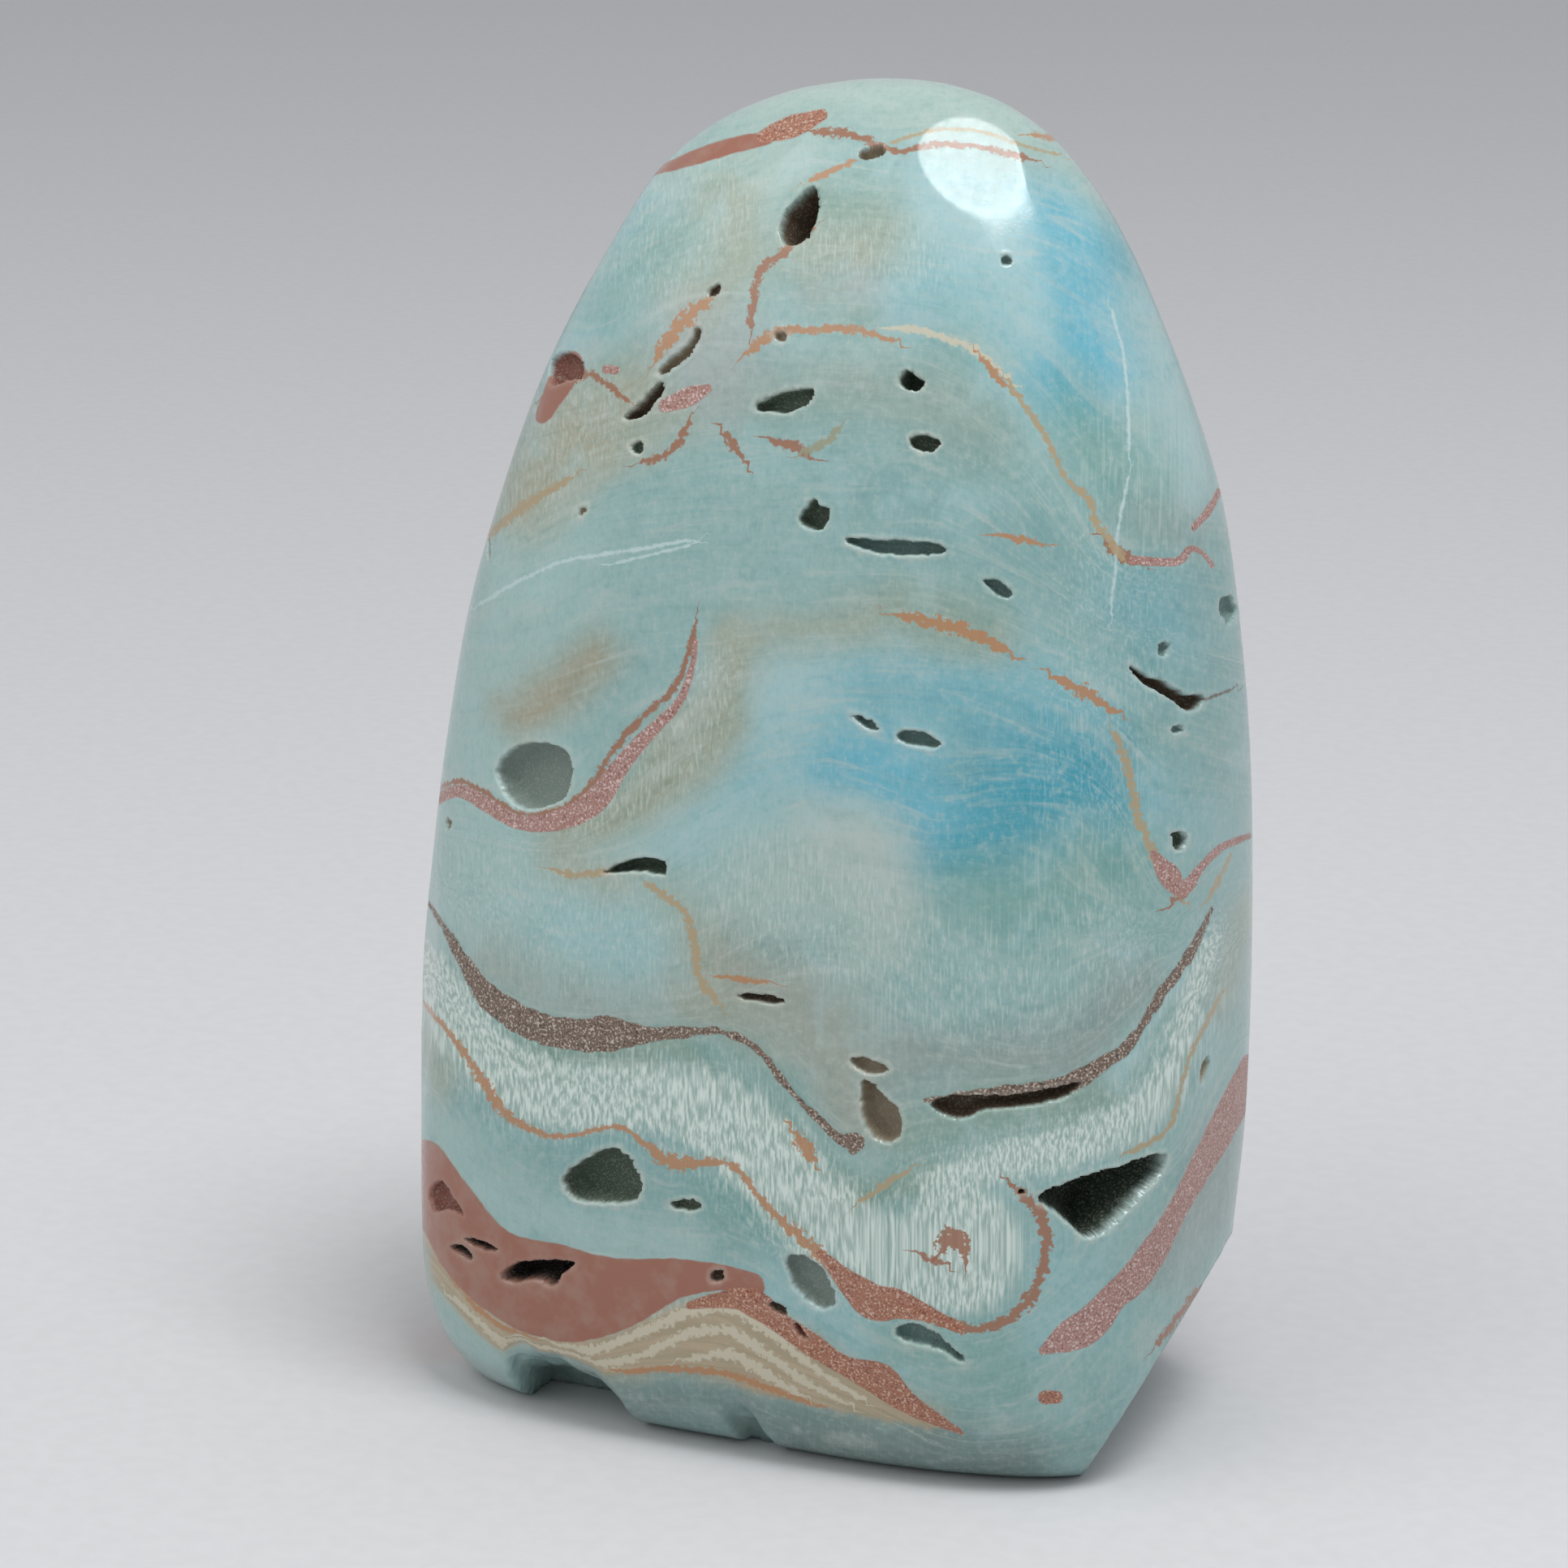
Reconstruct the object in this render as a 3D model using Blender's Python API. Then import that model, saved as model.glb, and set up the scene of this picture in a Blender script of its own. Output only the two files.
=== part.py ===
"""Polished freeform of banded blue calcite, one solid stone standing on its flat ground foot.

Frame: metres, +Z up, the broad front face looks towards -Y, the foot lies on Z = 0 and the
origin is under the middle of the stone.
"""
import math
import random
from collections import namedtuple

import bmesh
import bpy
from mathutils import Vector, noise
from mathutils.bvhtree import BVHTree

MM = 0.001

# Driving dimensions
HEIGHT = 114.5 * MM
HALF_WIDTH = 35.8 * MM
HALF_DEPTH = 22.3 * MM

# Cross-sections from the foot to the crown. Height, shift right and shift back are in mm,
# the half sizes are shares of HALF_WIDTH and HALF_DEPTH, and squareness 2 is an ellipse.
Section = namedtuple("Section", "height right back half_width half_depth squareness")
SECTIONS = (
    Section(0.0, -0.3, 0.0, 0.87, 0.68, 3.5),
    Section(0.8, -0.3, 0.0, 0.885, 0.76, 3.5),
    Section(2.4, -0.3, 0.0, 0.905, 0.84, 3.5),
    Section(5.0, -0.5, 0.0, 0.935, 0.91, 3.5),
    Section(10.0, -0.8, 0.0, 0.965, 0.955, 3.4),
    Section(17.0, -0.7, 0.0, 0.98, 0.985, 3.2),
    Section(26.0, -0.3, 0.0, 0.995, 1.0, 3.0),
    Section(37.0, 0.0, 0.1, 1.0, 0.995, 2.9),
    Section(48.0, 0.5, 0.2, 0.985, 0.98, 2.8),
    Section(59.0, 1.0, 0.4, 0.965, 0.94, 2.7),
    Section(70.0, 1.4, 0.6, 0.925, 0.90, 2.6),
    Section(80.0, 2.0, 0.9, 0.865, 0.845, 2.5),
    Section(88.0, 2.2, 1.1, 0.79, 0.775, 2.45),
    Section(95.0, 2.5, 1.2, 0.705, 0.695, 2.4),
    Section(101.0, 2.7, 1.3, 0.625, 0.60, 2.3),
    Section(106.2, 3.0, 1.4, 0.53, 0.485, 2.2),
    Section(110.2, 3.7, 1.4, 0.415, 0.355, 2.1),
    Section(113.0, 4.7, 1.4, 0.27, 0.215, 2.0),
    Section(114.2, 5.3, 1.4, 0.13, 0.11, 2.0),
)
RINGS_PER_SECTION = 2
POINTS_PER_RING = 64

# Shallow flats left by the polishing wheel: azimuth from the front towards the right and
# elevation of the way each one faces, in degrees, and how deep it cuts, in mm
Flat = namedtuple("Flat", "azimuth elevation cut")
POLISHING_FLATS = (
    Flat(28, 42, 0.5),
    Flat(-20, 46, 0.4),
    Flat(70, 38, 0.5),
    Flat(-75, 30, 0.5),
    Flat(50, 8, 0.35),
    Flat(-52, 4, 0.4),
    Flat(135, 35, 0.5),
    Flat(-140, 40, 0.6),
    Flat(160, 12, 0.4),
    Flat(-120, -4, 0.4),
)

# Broken lower right side: a rough plane that cuts the corner away from the polished skin
BREAK_POINT = Vector((32.8, -10.0, 8.5)) * MM
BREAK_NORMAL = Vector((0.854, 0.156, -0.497)).normalized()
BREAK_REACH = 34 * MM
BREAK_ROUGHNESS = 0.7 * MM
BREAK_GRID = 8

# Where a pit lies is given on a sheet through the stone's middle, square to the line of sight:
# millimetres right and up from its centre, thrown onto the stone from the eye.
SHEET_CENTRE = Vector((-4.6, 0.0, 53.9)) * MM
EYE_DISTANCE = 460 * MM
EYE_ELEVATION = math.radians(15)
FRONT_AZIMUTH = math.radians(25)
BACK_AZIMUTH = math.radians(205)

# Levels of a pit from its mouth down: share of the depth and share of the mouth's size
PIT_LEVELS = ((0.0, 1.0), (0.5, 0.85), (1.0, 0.5))
PIT_OVERSHOOT = 1.2 * MM
MOUTH_POINTS = 11
MOUTH_WOBBLE = 0.16

Pit = namedtuple("Pit", "name outline depth")


def oval(right, up, half_length, half_width, tilt, seed):
    """Uneven rounded outline on the sheet, its long axis turned by tilt degrees."""
    rng = random.Random(seed)
    turn = math.radians(tilt)
    points = []
    for step in range(MOUTH_POINTS):
        angle = math.tau * step / MOUTH_POINTS
        swell = 1 + rng.uniform(-MOUTH_WOBBLE, MOUTH_WOBBLE)
        along = half_length * swell * math.cos(angle)
        across = half_width * swell * math.sin(angle)
        points.append((right + along * math.cos(turn) - across * math.sin(turn),
                       up + along * math.sin(turn) + across * math.cos(turn)))
    return points


FRONT_PITS = (
    Pit("crown_crevice", ((2.6, 51.3), (2.9, 48.9), (2.0, 46.9), (0.4, 46.2), (-0.4, 47.2),
                          (0.5, 49.3), (1.3, 50.6)), 4.5),
    Pit("crown_pore", oval(7.5, 54.1, 1.1, 0.6, 20, 1), 1.5),
    Pit("shoulder_pore", oval(10.8, 34.5, 1.1, 0.8, -25, 2), 3.0),
    Pit("shoulder_hollow", oval(0.5, 32.8, 2.3, 0.8, 8, 3), 1.6),
    Pit("rimmed_hollow", oval(12.0, 29.0, 1.3, 0.8, -5, 4), 1.6),
    Pit("star_pore", oval(2.7, 23.0, 1.3, 1.1, 15, 5), 1.8),
    Pit("long_slit", ((5.4, 21.0), (9.3, 20.9), (13.5, 20.4), (13.4, 19.7), (9.6, 19.9), (7.2, 19.7)), 1.5),
    Pit("slant_pore", oval(18.3, 16.8, 1.3, 0.6, -33, 6), 1.2),
    Pit("side_crevice", ((29.8, 9.7), (32.4, 8.3), (35.2, 6.9), (36.0, 7.5), (34.8, 5.9), (32.2, 7.6)), 2.0),
    Pit("side_pore", oval(33.8, -4.9, 0.7, 0.8, 60, 7), 1.5),
    Pit("edge_pore", oval(37.6, 15.2, 0.7, 1.1, -20, 8), 1.0),
    Pit("round_pit", ((-24.6, 1.2), (-23.0, 3.1), (-20.4, 3.4), (-18.5, 2.3), (-18.4, 0.0), (-19.6, -2.0),
                      (-22.2, -2.2), (-24.3, -1.0)), 2.6),
    Pit("wedge_crevice", ((-15.4, -7.5), (-13.0, -6.4), (-10.4, -6.6), (-10.3, -7.8), (-12.6, -7.5)), 2.0),
    Pit("double_slit_left", oval(6.9, 5.2, 1.3, 0.4, -25, 9), 1.0),
    Pit("double_slit_right", oval(11.6, 3.8, 1.7, 0.7, -10, 10), 1.2),
    Pit("stained_slit", oval(-2.1, -18.3, 2.1, 0.45, -6, 11), 1.2),
    Pit("left_recess", ((-19.9, 34.2), (-19.3, 36.6), (-18.5, 37.0), (-17.2, 35.5), (-18.6, 34.9)), 1.5),
    Pit("upper_crevice", ((-10.8, 35.4), (-9.4, 37.4), (-7.8, 38.9), (-7.6, 38.0), (-9.2, 36.3)), 1.4),
    Pit("lower_crevice", ((-13.5, 31.5), (-11.8, 32.8), (-10.7, 34.1), (-10.5, 33.0), (-11.8, 31.6)), 1.8),
    Pit("middle_crevice", ((5.8, -23.4), (7.6, -23.6), (9.0, -24.4), (7.4, -24.8), (6.2, -24.2)), 1.2),
    Pit("middle_hollow", ((6.6, -25.7), (8.2, -26.0), (9.8, -27.8), (10.0, -30.2), (8.0, -30.6), (6.7, -28.4)), 2.6),
    Pit("long_crevice", ((12.6, -27.4), (16.5, -27.0), (21.5, -26.3), (25.2, -25.6), (24.4, -26.8),
                         (20.0, -28.0), (16.0, -28.5)), 2.2),
    Pit("cave", ((21.9, -35.3), (25.4, -33.7), (29.2, -32.5), (32.4, -31.6), (31.6, -34.6), (28.8, -37.2),
                 (26.0, -38.9), (24.2, -37.8)), 7.0),
    Pit("rimmed_pit", ((-18.8, -33.6), (-17.0, -31.9), (-14.6, -31.2), (-12.6, -33.4), (-12.6, -35.4),
                       (-15.6, -35.8), (-18.2, -35.3)), 3.0),
    Pit("small_slit", oval(-8.5, -35.9, 1.3, 0.45, -8, 12), 1.0),
    Pit("smooth_pit", oval(2.3, -42.6, 2.5, 1.6, 118, 13), 1.8),
    Pit("low_wedge", ((9.8, -46.3), (12.6, -46.6), (15.4, -49.4), (12.4, -48.9), (10.0, -48.0)), 1.3),
    Pit("red_cavity", ((-24.0, -41.4), (-21.0, -40.8), (-18.1, -41.0), (-19.4, -42.4), (-22.4, -43.0)), 4.0),
    Pit("red_slit", oval(-26.0, -39.6, 1.3, 0.5, -10, 14), 1.8),
)
BACK_PITS = (
    Pit("back_crevice", oval(-6.0, 22.0, 4.6, 0.9, 14, 21), 2.2),
    Pit("back_hollow", oval(10.0, -14.0, 3.2, 2.2, -20, 22), 3.0),
    Pit("back_pore", oval(-14.0, -4.0, 1.3, 1.0, 40, 23), 1.8),
    Pit("back_low_slit", oval(4.0, -34.0, 4.2, 0.8, -8, 24), 1.6),
)

# Natural notches in the foot's front edge, in mm: the mouth's outline as (right, up), the
# depth at which it starts and how far it runs under the stone, narrowing to its far end
FootNotch = namedtuple("FootNotch", "profile front reach")
FOOT_NOTCHES = (
    FootNotch(((-22.4, -1.0), (-22.0, 3.6), (-20.6, 4.6), (-16.8, 4.5), (-13.2, 3.6), (-11.2, 1.6),
               (-10.8, -1.0)), -23.0, 12.5),
    FootNotch(((-0.9, -1.0), (-0.7, 2.6), (0.8, 3.2), (1.8, 2.4), (2.4, -1.0)), -23.0, 7.5),
)
NOTCH_FAR_SHARE = 0.75

STONE_COLOUR = (0.30, 0.53, 0.55, 1.0)
STONE_ROUGHNESS = 0.28


def clear_scene():
    for thing in list(bpy.data.objects):
        bpy.data.objects.remove(thing, do_unlink=True)


def facing(azimuth, elevation):
    """Unit vector that leans right of the front by azimuth and up by elevation, in radians."""
    level = math.cos(elevation)
    return Vector((math.sin(azimuth) * level, -math.cos(azimuth) * level, math.sin(elevation)))


def section_at(place):
    """Section at a place along SECTIONS, eased through its neighbours."""
    last = len(SECTIONS) - 1
    index = min(int(place), last - 1)
    t = place - index
    before = SECTIONS[max(index - 1, 0)]
    start = SECTIONS[index]
    end = SECTIONS[index + 1]
    after = SECTIONS[min(index + 2, last)]
    eased = [0.5 * (2 * b + (c - a) * t + (2 * a - 5 * b + 4 * c - d) * t ** 2 + (3 * b - a - 3 * c + d) * t ** 3)
             for a, b, c, d in zip(before, start, end, after)]
    return Section(*eased)


def ring_points(section):
    """Level ring of the stone: a circle squared off and stretched to the section's sizes."""
    centre = Vector((section.right, section.back, section.height)) * MM
    half_width = section.half_width * HALF_WIDTH
    half_depth = section.half_depth * HALF_DEPTH
    points = []
    for step in range(POINTS_PER_RING):
        angle = math.tau * step / POINTS_PER_RING
        x, y = math.cos(angle), math.sin(angle)
        power = section.squareness
        radius = (abs(x / half_width) ** power + abs(y / half_depth) ** power) ** (-1 / power)
        points.append(centre + Vector((x, y, 0)) * radius)
    return points


def polish_flats(points):
    """Lay each point that stands past a polishing flat onto it."""
    for flat in POLISHING_FLATS:
        normal = facing(math.radians(flat.azimuth), math.radians(flat.elevation))
        limit = max(point.dot(normal) for point in points) - flat.cut * MM
        for point in points:
            over = point.dot(normal) - limit
            if over > 0:
                point -= normal * over


def body_mesh():
    """Closed body lofted through the sections, with the polishing flats on it."""
    mesh = bmesh.new()
    steps = (len(SECTIONS) - 1) * RINGS_PER_SECTION
    rings = [ring_points(section_at(step / RINGS_PER_SECTION)) for step in range(steps + 1)]
    crown = Vector((SECTIONS[-1].right * MM, SECTIONS[-1].back * MM, HEIGHT))
    polish_flats([point for ring in rings[1:] for point in ring] + [crown])
    loops = [[mesh.verts.new(point) for point in ring] for ring in rings]
    for lower, upper in zip(loops, loops[1:]):
        for step in range(POINTS_PER_RING):
            following = (step + 1) % POINTS_PER_RING
            mesh.faces.new((lower[step], lower[following], upper[following], upper[step]))
    mesh.faces.new(reversed(loops[0]))
    top = mesh.verts.new(crown)
    for step in range(POINTS_PER_RING):
        mesh.faces.new((loops[-1][step], loops[-1][(step + 1) % POINTS_PER_RING], top))
    bmesh.ops.recalc_face_normals(mesh, faces=mesh.faces)
    return mesh


def sheet_axes(azimuth):
    """Eye point and the sheet's right and up directions for a line of sight."""
    towards_eye = facing(azimuth, EYE_ELEVATION)
    right = Vector((math.cos(azimuth), math.sin(azimuth), 0))
    up = towards_eye.cross(right)
    return SHEET_CENTRE + towards_eye * EYE_DISTANCE, right, up


def thrown_on(tree, azimuth, place):
    """Point and outward normal where the eye sees a place of the sheet on the stone."""
    eye, right, up = sheet_axes(azimuth)
    on_sheet = SHEET_CENTRE + (right * place[0] + up * place[1]) * MM
    point, normal, _, _ = tree.ray_cast(eye, (on_sheet - eye).normalized())
    if point is None:
        point, normal, _, _ = tree.find_nearest(on_sheet)
    return point, normal


def tube_through(rings):
    """Closed mesh through rings of points, capped at both ends."""
    mesh = bmesh.new()
    loops = [[mesh.verts.new(point) for point in ring] for ring in rings]
    count = len(loops[0])
    for near, far in zip(loops, loops[1:]):
        for step in range(count):
            following = (step + 1) % count
            mesh.faces.new((near[step], near[following], far[following], far[step]))
    mesh.faces.new(loops[0])
    mesh.faces.new(reversed(loops[-1]))
    bmesh.ops.recalc_face_normals(mesh, faces=mesh.faces)
    return mesh


def pit_mesh(tree, azimuth, pit):
    """Cutter for one pit: its mouth follows the skin and its walls close in downwards."""
    thrown = [thrown_on(tree, azimuth, place) for place in pit.outline]
    mouth = [point for point, _ in thrown]
    centre = sum(mouth, Vector()) / len(mouth)
    outward = sum((normal for _, normal in thrown), Vector()).normalized()
    rings = [[point + outward * PIT_OVERSHOOT for point in mouth]]
    for deep, size in PIT_LEVELS:
        rings.append([centre + (point - centre) * size - outward * deep * pit.depth * MM for point in mouth])
    return tube_through(rings)


def notch_mesh(notch):
    """Cutter for a notch in the foot: its profile narrows as it runs under the stone."""
    middle = sum(x for x, _ in notch.profile) / len(notch.profile)
    near = [Vector((x, notch.front, z)) * MM for x, z in notch.profile]
    back = notch.front + notch.reach
    far = [Vector((middle + (x - middle) * NOTCH_FAR_SHARE, back, min(z, z * NOTCH_FAR_SHARE))) * MM
           for x, z in notch.profile]
    return tube_through([near, far])


def break_mesh():
    """Cutter for the broken corner: a thick slab whose inner face is rough."""
    mesh = bmesh.new()
    bmesh.ops.create_grid(mesh, x_segments=BREAK_GRID, y_segments=BREAK_GRID, size=BREAK_REACH)
    turn = Vector((0, 0, 1)).rotation_difference(BREAK_NORMAL)
    for vert in mesh.verts:
        rough = noise.noise(vert.co / (7 * MM)) * BREAK_ROUGHNESS
        vert.co = BREAK_POINT + turn @ (vert.co + Vector((0, 0, rough)))
    grown = bmesh.ops.extrude_face_region(mesh, geom=list(mesh.faces))
    for item in grown["geom"]:
        if isinstance(item, bmesh.types.BMVert):
            item.co += BREAK_NORMAL * BREAK_REACH
    bmesh.ops.recalc_face_normals(mesh, faces=mesh.faces)
    return mesh


def add_object(name, mesh, collection):
    data = bpy.data.meshes.new(name)
    mesh.to_mesh(data)
    mesh.free()
    thing = bpy.data.objects.new(name, data)
    collection.objects.link(thing)
    return thing


def add_cutter(name, mesh, collection):
    cutter = add_object(name, mesh, collection)
    cutter.hide_render = True
    cutter.display_type = "WIRE"


def stone_material():
    material = bpy.data.materials.new("polished_stone")
    material.use_nodes = True
    shader = material.node_tree.nodes["Principled BSDF"]
    shader.inputs["Base Color"].default_value = STONE_COLOUR
    shader.inputs["Roughness"].default_value = STONE_ROUGHNESS
    shader.inputs["Metallic"].default_value = 0.0
    return material


def build_stone():
    scene_collection = bpy.context.scene.collection
    cutters = bpy.data.collections.new("cutters")
    scene_collection.children.link(cutters)
    body = body_mesh()
    tree = BVHTree.FromBMesh(body)
    for azimuth, pits in ((FRONT_AZIMUTH, FRONT_PITS), (BACK_AZIMUTH, BACK_PITS)):
        for pit in pits:
            add_cutter("cut_" + pit.name, pit_mesh(tree, azimuth, pit), cutters)
    for index, notch in enumerate(FOOT_NOTCHES):
        add_cutter(f"cut_foot_notch_{index}", notch_mesh(notch), cutters)
    add_cutter("cut_break", break_mesh(), cutters)

    stone = add_object("stone", body, scene_collection)
    stone.data.materials.append(stone_material())
    cut = stone.modifiers.new("pits", "BOOLEAN")
    cut.operation = "DIFFERENCE"
    cut.operand_type = "COLLECTION"
    cut.collection = cutters
    cut.solver = "EXACT"
    stone.data.shade_smooth()


clear_scene()
build_stone()
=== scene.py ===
import math
import random
from collections import namedtuple

import bmesh
import bpy
import numpy as np
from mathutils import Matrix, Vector, noise


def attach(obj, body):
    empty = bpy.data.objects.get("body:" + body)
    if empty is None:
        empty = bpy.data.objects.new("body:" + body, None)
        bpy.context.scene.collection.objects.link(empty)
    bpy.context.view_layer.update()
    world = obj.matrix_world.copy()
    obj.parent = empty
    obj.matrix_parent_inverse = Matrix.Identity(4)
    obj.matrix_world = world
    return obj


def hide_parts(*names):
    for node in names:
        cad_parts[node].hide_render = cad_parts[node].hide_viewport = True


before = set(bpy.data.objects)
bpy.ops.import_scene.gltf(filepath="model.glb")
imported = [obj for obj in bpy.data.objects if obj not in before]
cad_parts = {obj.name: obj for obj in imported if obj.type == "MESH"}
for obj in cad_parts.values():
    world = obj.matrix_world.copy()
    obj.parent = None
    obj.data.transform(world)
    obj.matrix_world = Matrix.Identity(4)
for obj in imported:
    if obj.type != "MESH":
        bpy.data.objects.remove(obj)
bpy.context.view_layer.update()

# Polished freeform of banded blue calcite. One dressed stone stands for the CAD solid: its skin
# repeats the solid's sections, its pits are sunk into the mesh, and its bands, veins and colours
# are laid out by the photograph's pixels and thrown onto the skin from the camera.

MM = 0.001

# Seed of every noise field, so that each run gives the same stone
NOISE_SEED = 7
noise.seed_set(NOISE_SEED)

# Camera: where it looks, in mm, from which azimuth and elevation, how far off, and its lens. Pits
# on the other sides are laid out as the same camera would see them from the left, right and back.
PHOTO_SIDE = 1932
AIM = np.array([-4.6, 0.0, 53.9])
EYE_AZIMUTH = 25
EYE_ELEVATION = 15
EYE_DISTANCE = 460.0
FOCAL_PIXELS = 6624.0
PIXELS_PER_MM = FOCAL_PIXELS / EYE_DISTANCE
SENSOR = 36.0
NEAREST_VIEW = 0.01
FARTHEST_VIEW = 20.0
LEFT_AZIMUTH = -65
RIGHT_AZIMUTH = 105
BACK_AZIMUTH = 205

# The skin: the solid's sections. Height, shift right and shift back in mm, half sizes as shares
# of HALF_WIDTH and HALF_DEPTH, squareness 2 is an ellipse.
HEIGHT = 114.5
HALF_WIDTH = 35.8
HALF_DEPTH = 22.3
SECTIONS = np.array((
    (0.0, -0.3, 0.0, 0.87, 0.68, 3.5),
    (0.8, -0.3, 0.0, 0.885, 0.76, 3.5),
    (2.4, -0.3, 0.0, 0.905, 0.84, 3.5),
    (5.0, -0.5, 0.0, 0.935, 0.91, 3.5),
    (10.0, -0.8, 0.0, 0.965, 0.955, 3.4),
    (17.0, -0.7, 0.0, 0.98, 0.985, 3.2),
    (26.0, -0.3, 0.0, 0.995, 1.0, 3.0),
    (37.0, 0.0, 0.1, 1.0, 0.995, 2.9),
    (48.0, 0.5, 0.2, 0.985, 0.98, 2.8),
    (59.0, 1.0, 0.4, 0.965, 0.94, 2.7),
    (70.0, 1.4, 0.6, 0.925, 0.90, 2.6),
    (80.0, 2.0, 0.9, 0.865, 0.845, 2.5),
    (88.0, 2.2, 1.1, 0.79, 0.775, 2.45),
    (95.0, 2.5, 1.2, 0.705, 0.695, 2.4),
    (101.0, 2.7, 1.3, 0.625, 0.60, 2.3),
    (106.2, 3.0, 1.4, 0.53, 0.485, 2.2),
    (110.2, 3.7, 1.4, 0.415, 0.355, 2.1),
    (113.0, 4.7, 1.4, 0.27, 0.215, 2.0),
    (114.2, 5.3, 1.4, 0.13, 0.11, 2.0),
))
WAIST = 7
COLUMNS = 236
ROWS = 186
FOOT_ROWS = 14
CROWN_ROWS = 6
FRONT_DENSITY = 0.3
TRIAL_STEPS = 1441
MERGE_REACH = 0.004

# Shallow flats left by the polishing wheel: azimuth and elevation each faces, and cut in mm
POLISHING_FLATS = (
    (28, 42, 0.5), (-20, 46, 0.4), (70, 38, 0.5), (-75, 30, 0.5), (50, 8, 0.35),
    (-52, 4, 0.4), (135, 35, 0.5), (-140, 40, 0.6), (160, 12, 0.4), (-120, -4, 0.4),
)
WAVE_SIZE = 15.0
WAVE_HEIGHT = 0.16

# Broken lower right corner: a plane, the dents in it, and how far in they reach full depth, in mm
BREAK_POINT = np.array([32.8, -10.0, 8.5])
BREAK_NORMAL = np.array([0.854, 0.156, -0.497])
BREAK_ROUGHNESS = 0.55
BREAK_DENT_SIZE = 5.0
BREAK_GRAIN = 0.25
BREAK_GRAIN_SIZE = 1.1
BREAK_EASE = 1.2

# Natural notches in the foot's front edge: ceiling height over x, where it starts, and how far
# it runs under the stone, all in mm
FootNotch = namedtuple("FootNotch", "places heights front reach")
FOOT_NOTCHES = (
    FootNotch((-22.4, -21.9, -20.4, -16.8, -13.2, -11.2, -10.7), (0.0, 3.6, 4.6, 4.5, 3.6, 1.4, 0.0),
              -21.0, 11.0),
    FootNotch((-1.0, -0.6, 0.8, 1.8, 2.5), (0.0, 2.6, 3.2, 2.2, 0.0), -21.0, 6.0),
)
NOTCH_SPREAD = 4.0
NOTCH_ROUGHNESS = 0.12
NOTCH_GRAIN = 1.6

# Longest edges kept where the mesh must follow a rim or a rough patch, and elsewhere, in mm
FINE_EDGE = 0.37
COARSE_EDGE = 0.85
REFINING_PASSES = 3
RIM_REACH = 0.55
GRAIN_REACH = 0.1

# Colours as the photograph shows them, as 8-bit red, green and blue
TONES = {
    "deep_blue": (66, 150, 168),
    "bright_blue": (98, 168, 186),
    "sky": (138, 179, 184),
    "pale_sky": (158, 189, 192),
    "teal": (136, 168, 166),
    "deep_teal": (122, 158, 157),
    "pale_teal": (154, 182, 179),
    "green_teal": (104, 151, 145),
    "grey_teal": (134, 147, 142),
    "milk": (176, 185, 179),
    "green_milk": (159, 178, 171),
    "green": (124, 150, 138),
    "olive": (150, 156, 138),
    "beige": (159, 155, 134),
    "grey_beige": (148, 155, 145),
    "cream": (172, 156, 130),
    # painted shade: darker tone laid along the foot's lower edge, where shade falls under the stone
    "painted_foot_shade": (108, 130, 126),
    "lilac_grey": (160, 160, 158),
    "stain": (156, 144, 118),
    # painted shade: near-black green lining for the deep cave
    "painted_cave_shade": (44, 56, 45),
    "pit_green": (78, 94, 80),
    "pit_teal": (104, 132, 128),
    "pit_grey": (126, 140, 134),
    "pit_brown": (88, 72, 56),
    "pit_crust": (146, 134, 114),
    # painted shade: near-black lining for small deep holes
    "painted_hole_shade": (34, 24, 20),
    "pit_red": (120, 70, 56),
    "break_stone": (138, 150, 146),
    "umber": (92, 74, 60),
    "rust": (146, 98, 72),
    "orange": (168, 122, 84),
    "tan": (164, 146, 114),
    "olive_line": (142, 144, 120),
    "cream_line": (190, 184, 164),
    "frost": (178, 198, 198),
}
ALBEDO_GAIN = 1.03

# Colours mixed in the material itself, as linear red, green and blue
MIXES = {
    "cloud_shadow": (0.62, 0.80, 0.82),
    "wisp_shadow": (0.72, 0.84, 0.82),
    "mottle_shadow": (0.66, 0.78, 0.76),
    "fibre_white": (0.62, 0.70, 0.65),
    "streak_white": (0.60, 0.69, 0.64),
    "fibre_gap": (0.55, 0.70, 0.64),
    "red_stone": (0.30, 0.125, 0.085),
    "pale_red_stone": (0.32, 0.17, 0.125),
    "crust": (0.55, 0.55, 0.48),
    "lining_speck": (0.42, 0.42, 0.36),
    "sugar_body": (0.33, 0.13, 0.075),
    "sugar_dark": (0.17, 0.05, 0.03),
    "sugar_light": (0.52, 0.36, 0.28),
    "mauve_body": (0.36, 0.19, 0.16),
    "mauve_dark": (0.20, 0.09, 0.07),
    "mauve_light": (0.58, 0.46, 0.44),
    "dark_body": (0.16, 0.10, 0.07),
    "dark_dark": (0.03, 0.02, 0.015),
    "dark_light": (0.48, 0.42, 0.36),
    "floor_near": (0.60, 0.595, 0.605),
    "floor_far": (0.56, 0.56, 0.57),
    "floor_grain": (0.5, 0.5, 0.5),
    "room": (0.60, 0.61, 0.63),
}
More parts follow.
